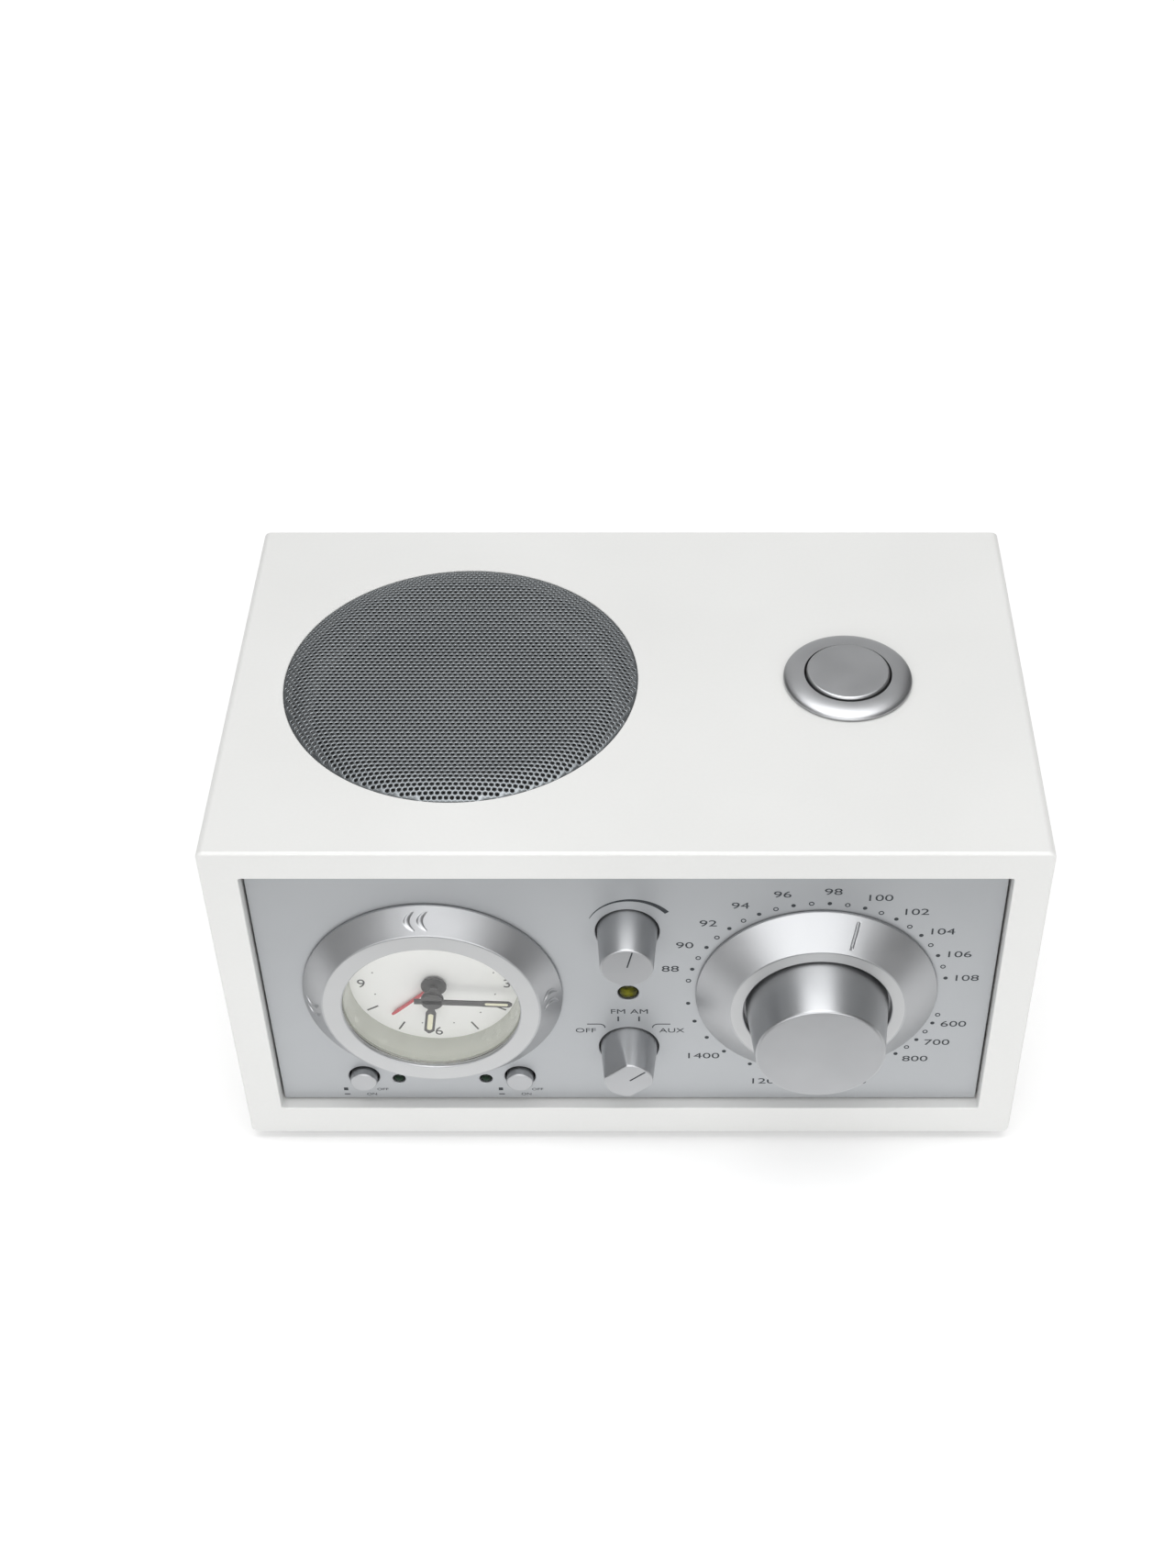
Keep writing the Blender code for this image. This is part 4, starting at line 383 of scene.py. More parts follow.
def new_finish(name, sockets):
    """A node material: its shader with constant sockets set, and Object coordinates for its patterns."""
    material = bpy.data.materials.new(name)
    material.use_nodes = True
    tree = material.node_tree
    shader = tree.nodes["Principled BSDF"]
    for socket, value in sockets.items():
        shader.inputs[socket].default_value = value
    place = tree.nodes.new("ShaderNodeTexCoord").outputs["Object"]
    return SimpleNamespace(material=material, tree=tree, shader=shader, place=place)


def add_node(work, kind, inputs=None, **settings):
    """A node of a kind, with its settings; an input is a link where it is given as a socket, or else a
    value."""
    made = work.tree.nodes.new("ShaderNode" + kind)
    for setting, value in settings.items():
        setattr(made, setting, value)
    for socket, value in (inputs or {}).items():
        if isinstance(value, bpy.types.NodeSocket):
            work.tree.links.new(value, made.inputs[socket])
        else:
            made.inputs[socket].default_value = value
    return made


def cloud(work, size, detail=2.0):
    """Noise whose blotches are about this many millimetres across."""
    inputs = {"Vector": work.place, "Scale": 1 / (size * MM), "Detail": detail}
    return add_node(work, "TexNoise", inputs).outputs["Fac"]


def between(work, factor, low, high, start=NOISE_SPAN[0], stop=NOISE_SPAN[1]):
    """A number that runs from low to high while the factor runs from start to stop."""
    inputs = {"Value": factor, "From Min": start, "From Max": stop, "To Min": low, "To Max": high}
    return add_node(work, "MapRange", inputs).outputs["Result"]


def blend_of(work, factor, first, second):
    """A colour that runs from the first to the second with the factor; either may be a link."""
    node = add_node(work, "Mix", data_type="RGBA", clamp_factor=True)
    work.tree.links.new(factor, node.inputs["Factor"])
    for name, colour in (("A", first), ("B", second)):
        socket = next(s for s in node.inputs if s.name == name and s.type == "RGBA")
        if isinstance(colour, bpy.types.NodeSocket):
            work.tree.links.new(colour, socket)
        else:
            socket.default_value = (*colour, 1.0)
    return next(s for s in node.outputs if s.type == "RGBA")


def connect(work, output, socket):
    """Links an output to one of the shader's sockets."""
    work.tree.links.new(output, work.shader.inputs[socket])


def raise_skin(work, height, depth):
    """Raises the surface by a height pattern, this many millimetres deep."""
    skin = add_node(work, "Bump", {"Height": height, "Distance": depth * MM, "Strength": 1.0})
    connect(work, skin.outputs["Normal"], "Normal")


def drifting(name, dark, light, rough, blotch, grain, depth, sockets=None):
    """A finish whose colour and gloss drift between two near tones over blotches, with a fine grain on
    its skin."""
    work = new_finish(name, sockets or {})
    wide = cloud(work, blotch, NOISE_DETAIL)
    fine = cloud(work, grain, NOISE_DETAIL)
    tones = {0: between(work, wide, 0.0, 1.0), 1: between(work, fine, -SPECK, SPECK)}
    mixed = add_node(work, "Math", tones, operation="ADD").outputs["Value"]
    connect(work, blend_of(work, mixed, dark, light), "Base Color")
    connect(work, between(work, wide, *rough), "Roughness")
    raise_skin(work, fine, depth)
    return work


def grooved(work, paint):
    """Darkens the colour wherever the piece's groove attribute is raised: dark fill paint and painted shade
    in the tuning ring's index cuts, and painted shade in the bezel's scoops.
    """
    mark = add_node(work, "Attribute", attribute_name="groove").outputs["Fac"]
    skin = work.shader.inputs["Base Color"].links[0].from_socket
    connect(work, blend_of(work, mark, skin, paint), "Base Color")


def lathe_turned(work):
    """Adds fine turning marks round an axis that runs from front to back: they draw the gloss out along
    the sides of a knob and leave its flat face even."""
    round_axis = add_node(work, "Tangent", direction_type="RADIAL", axis="Y").outputs["Tangent"]
    connect(work, round_axis, "Tangent")
    facing = add_node(work, "SeparateXYZ", {0: add_node(work, "TexCoord").outputs["Normal"]}).outputs["Y"]
    frontal = add_node(work, "Math", {0: facing}, operation="ABSOLUTE").outputs["Value"]
    connect(work, between(work, frontal, TURNING, 0.0, *TURNED_SIDES), "Anisotropic")


def clear_plastic():
    """Clear moulded plastic: it bends light for the eye, and lets a lamp's light straight through."""
    work = new_finish("clear_plastic", {
        "Base Color": (0.99, 0.99, 0.98, 1.0), "Transmission Weight": 1.0, "IOR": 1.46,
    })
    connect(work, between(work, cloud(work, CLEAR_BLOTCH), *CLEAR_ROUGH), "Roughness")
    shadow = add_node(work, "LightPath").outputs["Is Shadow Ray"]
    through = add_node(work, "BsdfTransparent", {"Color": (0.97, 0.97, 0.95, 1.0)})
    either = add_node(work, "MixShader", {
        0: shadow, 1: work.shader.outputs["BSDF"], 2: through.outputs["BSDF"],
    })
    output = work.tree.nodes["Material Output"]
    work.tree.links.new(either.outputs["Shader"], output.inputs["Surface"])
    return work


def circuit_board():
    """Green laminate with rows of paler tracks under the lacquer."""
    work = new_finish("circuit_board", {"Coat Weight": 0.4, "Coat Roughness": 0.2})
    brick = add_node(work, "TexBrick", {
        "Vector": work.place, "Scale": 1 / (TRACK_PITCH * MM), "Mortar Size": TRACK_WIDE,
        "Color1": (0.008, 0.10, 0.035, 1.0), "Color2": (0.012, 0.13, 0.05, 1.0),
        "Mortar": (0.05, 0.24, 0.10, 1.0),
    })
    connect(work, brick.outputs["Color"], "Base Color")
    connect(work, between(work, cloud(work, BOARD_BLOTCH), *BOARD_ROUGH), "Roughness")
    raise_skin(work, brick.outputs["Fac"], TRACK_HIGH)
    return work


def lamp_plastic(name, deep, bright):
    """Tinted clear plastic over a lamp, with light and shade painted into its colour: a painted bright
    middle where the lamp's light shows through, and a painted deep, dark rim. The groove attribute gives
    the way out from the middle."""
    work = new_finish(name, {"Specular IOR Level": 0.12})
    outward = add_node(work, "Attribute", attribute_name="groove").outputs["Fac"]
    mottle = between(work, cloud(work, LAMP_BLOTCH), -LAMP_MOTTLE, LAMP_MOTTLE)
    share = add_node(work, "Math", {0: outward, 1: mottle}, operation="ADD").outputs["Value"]
    connect(work, blend_of(work, share, bright, deep), "Base Color")
    connect(work, between(work, cloud(work, LAMP_GRAIN), *LAMP_ROUGH), "Roughness")
    return work


# Each drifting finish: its dark and light tones, its least and most roughness, the size of its blotches
# and of its grain, the grain's depth, and the shader's constants
DRIFTING = {
    "white_lacquer": (
        (0.805, 0.807, 0.793), (0.83, 0.832, 0.818), (0.36, 0.44), 60.0, 0.9, 0.004,
        {"Coat Weight": 0.15, "Coat Roughness": 0.3}),
    "bare_board": ((0.085, 0.075, 0.06), (0.12, 0.105, 0.085), (0.75, 0.9), 5.0, 0.5, 0.03),
    "silver_paint": (
        (0.422, 0.436, 0.45), (0.445, 0.459, 0.473), (0.44, 0.49), 40.0, 0.22, 0.003, {"Metallic": 0.55}),
    "satin_aluminium": (
        (0.42, 0.427, 0.438), (0.452, 0.459, 0.47), (0.36, 0.41), 14.0, 0.2, 0.002, {"Metallic": 1.0}),
    "knob_aluminium": (
        (0.42, 0.427, 0.438), (0.452, 0.459, 0.47), (0.38, 0.42), 14.0, 0.2, 0.002,
        {"Metallic": 1.0, "Anisotropic Rotation": 0.25}),
    "lip_silver": (
        (0.525, 0.532, 0.536), (0.55, 0.557, 0.561), (0.4, 0.45), 20.0, 0.2, 0.002, {"Metallic": 0.5}),
    "perforated_steel": (
        (0.193, 0.207, 0.217), (0.208, 0.222, 0.232), (0.36, 0.42), 30.0, 0.3, 0.004, {"Metallic": 0.8}),
    "steel": ((0.46, 0.46, 0.47), (0.56, 0.56, 0.57), (0.28, 0.4), 5.0, 0.3, 0.006, {"Metallic": 1.0}),
    "brass": ((0.52, 0.37, 0.13), (0.62, 0.46, 0.18), (0.24, 0.36), 4.0, 0.3, 0.005, {"Metallic": 1.0}),
    "white_nylon": ((0.70, 0.69, 0.64), (0.76, 0.75, 0.70), (0.42, 0.55), 8.0, 0.6, 0.01),
    "dial_card": ((0.865, 0.868, 0.865), (0.89, 0.893, 0.89), (0.55, 0.65), 9.0, 0.25, 0.004),
    "cup_plastic": (
        (0.52, 0.535, 0.475), (0.57, 0.585, 0.525), (0.2, 0.3), 8.0, 0.6, 0.004, {"Coat Weight": 0.3}),
    "hand_black": ((0.022, 0.022, 0.023), (0.035, 0.035, 0.036), (0.4, 0.5), 3.0, 0.2, 0.004),
    "hand_red": ((0.50, 0.03, 0.05), (0.60, 0.05, 0.07), (0.38, 0.48), 3.0, 0.2, 0.004),
    "pale_lume": ((0.72, 0.70, 0.52), (0.80, 0.78, 0.60), (0.7, 0.8), 2.0, 0.12, 0.01),
    "black_plastic": ((0.018, 0.018, 0.019), (0.03, 0.03, 0.031), (0.45, 0.6), 12.0, 0.5, 0.02),
    "rubber": ((0.02, 0.02, 0.02), (0.034, 0.034, 0.034), (0.75, 0.88), 4.0, 0.4, 0.03),
    "paper_cone": ((0.02, 0.02, 0.021), (0.045, 0.044, 0.043), (0.8, 0.92), 3.0, 0.4, 0.05),
    "ferrite": ((0.03, 0.03, 0.032), (0.05, 0.05, 0.052), (0.55, 0.7), 6.0, 0.3, 0.03),
    "dark_ink": (
        (0.04, 0.045, 0.05), (0.06, 0.066, 0.072), (0.5, 0.6), 2.0, 0.15, 0.002,
        {"Specular IOR Level": 0.15}),
}
# Each lamp's painted dark rim tone, then its painted bright middle tone where its light shows through
LAMP_TONES = {
    "lamp_green": ((0.002, 0.006, 0.003), (0.006, 0.03, 0.012)),
    "lamp_olive": ((0.006, 0.007, 0.001), (0.17, 0.165, 0.003)),
}


def make_finishes():
    """Every finish of the radio, by name."""
    works = {name: drifting(name, *values) for name, values in DRIFTING.items()}
    # The cuts in the bezel and the tuning ring get their fill paint and painted shade
    grooved(works["satin_aluminium"], FILL_PAINT_AND_SHADE)
    lathe_turned(works["knob_aluminium"])
    works["clear_plastic"] = clear_plastic()
    works["circuit_board"] = circuit_board()
    works.update({name: lamp_plastic(name, *tones) for name, tones in LAMP_TONES.items()})
    return {name: work.material for name, work in works.items()}


FINISH = make_finishes()
SLOT_FINISH = {
    "painted_wood": "white_lacquer", "silver_panel": "silver_paint", "dial_face": "dial_card",
    "dark_hand": "hand_black", "red_hand": "hand_red",
}


def finish_cad_nodes():
    """Gives every CAD node the finish of its record slot."""
    for part in frame["record"]["subparts"]:
        slot = part["material_slot"]
        mesh = frame["nodes"][part["node"]].data
        mesh.materials.clear()
        mesh.materials.append(FINISH[SLOT_FINISH.get(slot, slot)])


# Cabinet

LONG_EDGE = 2.0
FRONT_EDGE = 0.8
BACK_EDGE = 0.6
INNER_EDGE = 0.35
INNER_CORNER = 0.6
SIDE_WALL = 9.6
TOP_WALL = 9.1
BOTTOM_WALL = 10.8
GRILLE_SEAT = 2.3
SEAT_GAP = 0.12
SPEAKER_HOLE = 45.3
SNOOZE_HOLE = 13.9
PORT_HOLE = 17.3
HOLE_EASE = 0.15
CUT_BEYOND = 3.0


def carried_ring(half, low, high, corner):
    """Rounded rectangles about x = 0, one for each row of sizes: quarter circles at the four corners,
    each with a support point beyond its ends on the straight sides."""
    sweep = np.linspace(0, 90, CORNER_STEPS + 1)
    quarter = np.concatenate([[0], sweep, [90]])
    angle = np.radians(np.concatenate([start + quarter for start in (0, 90, 180, 270)]))
    slide = np.tile(np.concatenate([[-1], 0 * sweep, [1]]), 4) * SUPPORT
    middle = np.repeat(np.radians([45, 135, 225, 315]), len(quarter))
    x = np.sign(np.cos(middle)) * (half - corner) + corner * np.cos(angle) - slide * np.sin(angle)
    z = (high + low) / 2 + np.sign(np.sin(middle)) * ((high - low) / 2 - corner)
    z = z + corner * np.sin(angle) + slide * np.cos(angle)
    return x, z


def cabinet_shell():
    """The wooden sleeve: a wall profile carried round a rounded rectangle. The profile goes back along
    the outside, round the back edge, forward along the inside and round the two front edges; each of
    its points has a depth and the amount by which the rectangle grows there."""
    depth = CABINET.far
    turn = quarter_turn(CORNER_STEPS + 1)
    ease, drop = 1 - np.cos(turn), 1 - np.sin(turn)
    outer = np.vstack([
        [[0, -FRONT_EDGE - SUPPORT]],
        np.column_stack([FRONT_EDGE * ease, -FRONT_EDGE * drop]),
        [[FRONT_EDGE + SUPPORT, 0], [depth - BACK_EDGE - SUPPORT, 0]],
        np.column_stack([depth - BACK_EDGE * ease, -BACK_EDGE * drop])[::-1],
        [[depth, -BACK_EDGE - SUPPORT]],
    ])
    inner = np.vstack([
        [[depth, 0], [INNER_EDGE + SUPPORT, 0]],
        np.column_stack([INNER_EDGE * ease, INNER_EDGE * drop])[::-1],
        [[0, INNER_EDGE + SUPPORT]],
    ])
    half = CABINET.radius
    sizes = [
        (outer, half, CABINET.bottom, CABINET.top, LONG_EDGE),
        (inner, half - SIDE_WALL, CABINET.bottom + BOTTOM_WALL, CABINET.top - TOP_WALL, INNER_CORNER),
    ]
    rows = []
    for path, wide, low, high, corner in sizes:
        along, grow = path[:, :1], path[:, 1:]
        x, z = carried_ring(wide + grow, low - grow, high + grow, corner + grow)
        rows.append(np.stack(np.broadcast_arrays(x, along, z), -1))
    grid = np.vstack(rows)
    return grid.reshape(-1, 3), grid_faces(*grid.shape[:2], wrap_rows=True)


def hole_cutter(name, axis, corners, finish="bare_board"):
    """A turned cutter on an upright axis, faced with the bare board or the paint that the cut hole
    shows."""
    return new_object(name, turned_about(axis, corners, place=around_upright), FINISH[finish])


def eased_mouth(radius, surface, outward):
    """The mouth of a cut hole: straight up to the surface, then flared a little so that its edge is
    eased, and across to the axis."""
    beyond = surface + outward * HOLE_EASE
    return [(radius, surface - outward * HOLE_EASE), (radius + 2 * HOLE_EASE, beyond), (0, beyond)]


def make_cabinet():
    """The sleeve with its grille seat, speaker hole, snooze hole and port hole."""
    made = piece("cabinet_shell", cabinet_shell(), "white_lacquer", "cabinet", "painted_wood", "cabinet")
    top, bottom = CABINET.top, CABINET.bottom
    below, above = top - TOP_WALL - CUT_BEYOND, bottom + BOTTOM_WALL + CUT_BEYOND
    seat, seat_radius = top - GRILLE_SEAT, GRILLE.radius + SEAT_GAP
    middle = (seat + top) / 2
    recess = [(0, seat), (seat_radius, seat)] + eased_mouth(seat_radius, top, 1)
    speaker = [(0, below), (SPEAKER_HOLE, below), (SPEAKER_HOLE, middle), (0, middle)]
    snooze = [(0, below), (SNOOZE_HOLE, below)] + eased_mouth(SNOOZE_HOLE, top, 1)
    port = [(0, above), (PORT_HOLE, above)] + eased_mouth(PORT_HOLE, bottom, -1)
    cut(
        made,
        hole_cutter("grille_recess", GRILLE, recess, "white_lacquer"),
        hole_cutter("speaker_hole", GRILLE, speaker),
        hole_cutter("snooze_hole", SNOOZE, snooze),
        hole_cutter("port_hole", PORT, port),
    )


# Speaker grille

HOLE_PITCH = 1.515
HOLE_RADIUS = 0.49
HOLE_SIDES = 10
GRILLE_FLAT = 38.0
GRILLE_FALL = 2.1
GRILLE_SHEET = 0.35
GRILLE_MARGIN = 0.2
MORE_COLUMNS = 2
MORE_ROWS = 8


def zipped_ring(outer, inner):
    """Triangles between two rings of points given by their angles, the outer counted first. The next
    points of both rings are put in order of angle, and each step goes on to the one that is due, from
    the points that the steps before it have reached."""
    following = np.concatenate([np.append(ring[1:], ring[0] + 2 * math.pi) for ring in (outer, inner)])
    on_outer = np.argsort(following, kind="stable") < len(outer)
    outer_steps, inner_steps = np.cumsum(on_outer), np.cumsum(~on_outer)
    outer_start = (outer_steps - on_outer) % len(outer)
    inner_start = len(outer) + (inner_steps - ~on_outer) % len(inner)
    ahead = np.where(on_outer, outer_steps % len(outer), len(outer) + inner_steps % len(inner))
    return np.column_stack([outer_start, inner_start, ahead])


def grille_sheet():
    """A domed sheet of six-sided cells, each with a round hole. Cell middles lie in staggered rows a
    pitch apart, corners beyond the rim are drawn in to it, cells too near the rim have no hole, and
    the height falls from the flat middle to the rim with the square of the way across the roll."""
    rim = GRILLE.radius
    across = int(rim / HOLE_PITCH) + MORE_COLUMNS
    along = across + MORE_ROWS
    column, row = np.meshgrid(np.arange(-across, across + 1), np.arange(-along, along + 1))
    spread = np.stack([column + row % 2 / 2, row * math.sqrt(3) / 2], -1)
    middles = spread.reshape(-1, 2) * HOLE_PITCH
    corner_angles = math.pi / 6 + np.arange(6) * math.pi / 3
    hole_angles = math.pi / 6 + (np.arange(HOLE_SIDES) + 0.5) * 2 * math.pi / HOLE_SIDES
    corners = HOLE_PITCH / math.sqrt(3) * np.column_stack([np.cos(corner_angles), np.sin(corner_angles)])
    holes = HOLE_RADIUS * np.column_stack([np.cos(hole_angles), np.sin(hole_angles)])
    cells = middles[:, None] + corners
    inside = (np.linalg.norm(cells, axis=2) < rim - GRILLE_MARGIN).any(axis=1)
    middles, cells = middles[inside], cells[inside]
    away = np.linalg.norm(cells, axis=2, keepdims=True)
    cells = cells * np.minimum(1, rim / away)
    pierced = np.linalg.norm(middles, axis=1) + HOLE_RADIUS + GRILLE_MARGIN < rim
    open_cells = np.concatenate([cells[pierced], middles[pierced][:, None] + holes], axis=1)
    blank_cells = cells[~pierced]
    flat = np.vstack([open_cells.reshape(-1, 2), blank_cells.reshape(-1, 2)])
    ring = zipped_ring(corner_angles, hole_angles)
    starts = np.arange(len(open_cells)) * open_cells.shape[1]
    open_faces = (starts[:, None, None] + ring).reshape(-1, 3)
    blank_starts = open_cells.shape[0] * open_cells.shape[1] + np.arange(len(blank_cells)) * 6
    blank_faces = blank_starts[:, None] + np.arange(6)
    roll = np.clip((np.linalg.norm(flat, axis=1) - GRILLE_FLAT) / (rim - GRILLE_FLAT), 0, 1)
    height = GRILLE.top - GRILLE_FALL * roll ** 2
    points = np.column_stack([GRILLE.x + flat[:, 0], GRILLE.depth + flat[:, 1], height])
    return points, [*open_faces, *blank_faces]


def make_grille():
    """The perforated sheet, given its thickness downwards."""
    made = piece(
        "grille_sheet", grille_sheet(), "perforated_steel", "cabinet", "perforated_steel", "speaker_grille")
    sheet = made.modifiers.new("sheet", "SOLIDIFY")
    sheet.thickness = GRILLE_SHEET * MM
    sheet.offset = -1.0


# Front panel

PANEL_CHAMFER = 0.15
PANEL_CORNER = 0.4
BEZEL_HOLE = 30.6
TUNER_HOLE = 5.4
KNOB_GAP = 0.4
BUTTON_GAP = 0.6
LAMP_GAP = 0.2
BUTTONS = ("alarm_button", "sleep_button")
LAMPS = ("alarm_led", "sleep_led", "power_led")


def make_front_panel():
    """The silver plate, with a round hole for every control."""
    holes = [(CLOCK, BEZEL_HOLE), (RING, TUNER_HOLE)]
    holes += [(knob, knob.radius + KNOB_GAP) for knob in (VOLUME, SOURCE)]
    holes += [(button, button.radius + BUTTON_GAP) for button in map(reach, BUTTONS)]
    holes += [(lamp, lamp.radius + LAMP_GAP) for lamp in map(reach, LAMPS)]
    edge = rounded_loop(PANEL.left, PANEL.right, PANEL.bottom, PANEL.top, PANEL_CORNER)
    loops = [edge] + [circle(axis.x, axis.z, radius) for axis, radius in holes]
    shape = plate(loops, PANEL.near, PANEL.far, PANEL_CHAMFER)
    piece("panel_plate", shape, "silver_paint", "cabinet", "silver_panel", "front_panel")


# Clock

INK = 0.03
LIP_EDGE = 0.36
LIP_FILLET = 0.35
RIM_FILLET = 0.6
EDGE_FILLET = 0.3
SEAT_FILLET = 0.1
BEZEL_LIP = 23.4
BEZEL_RIM = 28.7
BEZEL_EDGE = 2.4
BEZEL_SEAT = 3.0
SKIRT_OUTER = 30.0
SKIRT_INNER = 28.4
LENS_POCKET = 24.3
LENS_SEAT = -1.9
LENS_FRONT = -1.87
POCKET_BACK = 3.6
GASKET = (23.78, 24.22)
GASKET_LONG = 0.9
GRIP_START = -3.0
GRIP_ANGLES = np.radians(GRIP_START + 90 * np.arange(4))
GRIP_RADIUS = 31.45
GRIP_HALF = 1.8
GRIP_APART = 3.4
GRIP_BOW = 1.9
GRIP_WIDE = 0.85
GRIP_DEEP = 0.5
GRIP_BLUNT = 0.45
GRIP_ROWS = 44
GRIP_SPAN = 4.2
GRIP_STEP = 0.14
GRIP_CLEAR = 0.2
GRIP_INSIDE = 0.5
# How dark the bezel's scoops are painted by their depth: painted shade, darkest at the bottom of a scoop
GRIP_SHADE = 0.1
LENS_FILLET = 0.2


def inked(depth):
    """The near and far depths of a thin layer on a surface at a depth."""
    return depth - INK, depth + INK


def smooth_step(value):
    """Eases from 0 to 1: three squares less two cubes of the clipped value."""
    value = np.clip(value, 0, 1)
    return value * value * (3 - 2 * value)


def turned_away(angle, centre):
    """How far an angle lies from a centre, as the shorter way round: from minus half a turn to half a
    turn."""
    return (angle - centre + math.pi) % (2 * math.pi) - math.pi


def grip_marks(radius, angle):
    """Strength, from 0 to 1, of the crescents scooped out of the bezel's slope. Four pairs stand a
    quarter turn apart. Along a crescent its middle line bows by a parabola, and its half width and
    depth fall to nothing at the ends by a blunt power of another; across it the scoop is a third
    parabola."""
    total = np.zeros(np.broadcast(radius, angle).shape)
    along = np.clip((radius - GRIP_RADIUS) / GRIP_HALF, -1, 1)
    swell = (1 - along ** 2) ** GRIP_BLUNT
    for start in GRIP_ANGLES:
        sideways = turned_away(angle, start) * GRIP_RADIUS
        for side in (-0.5, 0.5):
            middle = side * GRIP_APART - GRIP_BOW * (0.5 - along ** 2)
            across = (sideways - middle) / (GRIP_WIDE * swell + MERGE)
            total = np.maximum(total, np.clip(1 - across ** 2, 0, 1) * swell)
    return total


def gathered_angles(centres, span, step):
    """Angles once round, coarse in general and fine within a span on both sides of each centre, all in
    radians."""
    coarse = full_turn()
    fine = [np.arange(-span, span, step) + centre for centre in centres]
    keep = np.ones(len(coarse), bool)
    for centre in centres:
        keep &= np.abs(turned_away(coarse, centre)) > span + step
    return np.unique(np.concatenate([coarse[keep], *fine]) % (2 * math.pi))


def marked_ring(corners, axis, angles, marks, deep, slope):
    """A closed ring turned from corners, with marks sunk into its slope: between two depths and outside
    a radius, a point moves back by the mark's strength times its depth. Gives the shape and the
    strengths."""
    profile = outline(corners, closed=True)
    radius, along = profile[:, :1], profile[:, 1:]
    start, edge, rim = slope
    strength = marks(radius, angles[None]) * ((along > start) & (along < edge) & (radius > rim))
    points = around_front(axis)(radius, along + deep * strength, angles[None])
    return (points, grid_faces(*strength.shape, wrap_rows=True)), strength


def make_lip(name, axis, rim, lip, body):
    """The bright flat lip of a sloped ring: a thin plate between two circles, a little short of its
    edges."""
    loops = [circle(axis.x, axis.z, rim - LIP_EDGE), circle(axis.x, axis.z, lip + LIP_EDGE)]
    piece(name, plate(loops, *inked(axis.near)), "lip_silver", body, "satin_aluminium")


def make_bezel():
    """The turning bezel, a closed profile with a flat lip, a grip-marked slope, a seat edge and a skirt;
    its lens, which light bounced off the dial passes straight through; and the gasket behind the
    lens."""
    corners = [
        (BEZEL_LIP, CLOCK.near, LIP_FILLET), (BEZEL_RIM, CLOCK.near, RIM_FILLET, GRIP_ROWS),
        (CLOCK.radius, BEZEL_EDGE, EDGE_FILLET), (CLOCK.radius, BEZEL_SEAT, SEAT_FILLET),
        (SKIRT_OUTER, BEZEL_SEAT), (SKIRT_OUTER, CLOCK.far), (SKIRT_INNER, CLOCK.far),
        (SKIRT_INNER, POCKET_BACK), (LENS_POCKET, POCKET_BACK), (LENS_POCKET, LENS_SEAT),
        (BEZEL_LIP, LENS_SEAT),
    ]
    angles = gathered_angles(GRIP_ANGLES, GRIP_SPAN / GRIP_RADIUS, GRIP_STEP / GRIP_RADIUS)
    slope = (CLOCK.near + GRIP_CLEAR, BEZEL_EDGE, BEZEL_RIM - GRIP_INSIDE)
    shape, marks = marked_ring(corners, CLOCK, angles, grip_marks, GRIP_DEEP, slope)
    # The scoops' strength paints shade into them
    piece(
        "bezel_ring", shape, "satin_aluminium", "clock_bezel", "satin_aluminium", "clock_bezel",
        groove=GRIP_SHADE * marks)
    make_lip("bezel_lip", CLOCK, BEZEL_RIM, BEZEL_LIP, "clock_bezel")
    disc = turned_about(CLOCK, [
        (0, LENS_FRONT), (LENS.radius, LENS_FRONT, LENS_FILLET), (LENS.radius, LENS.far, LENS_FILLET),
        (0, LENS.far),
    ])
    lens = piece("lens_disc", disc, "clear_plastic", "clock_bezel", "clear_plastic", "clock_lens")
    lens.visible_diffuse = False
    inner, outer = GASKET
    near, far = LENS.far + INK, LENS.far + GASKET_LONG
    gasket = turned_about(CLOCK, [(inner, near), (outer, near), (outer, far), (inner, far)], closed=True)
    piece("lens_gasket", gasket, "white_nylon", "clock_bezel", "white_nylon")


CUP_MOUTH = 23.2
CUP_CLEAR = 0.04
CUP_FILLET = 0.05
CARD_RADIUS = 22.6
CARD_DEPTH = 7.2
CARD_HOLE = 2.5
CARD_SEAT = 0.2
CARD_THICK = 0.19
CARD_GAP = 0.1
SEAT_BEVEL = 0.3
SEAT_EASE = 0.1
HOUR_NUMBERS = {0: "12", 3: "3", 6: "6", 9: "9"}
HOUR_TURN = 30
HOUR_HEIGHT = 3.2
HOUR_STRETCH = 1.05
HOUR_RADIUS = 19.4
TICK_RADIUS = 19.8
TICK_LONG = 3.5
TICK_WIDE = 0.5
HALF_DOT = 0.22
HALF_DOT_RADIUS = 16.6
HALF_DOT_POINTS = 12
PRINT_CORNER = 0.05


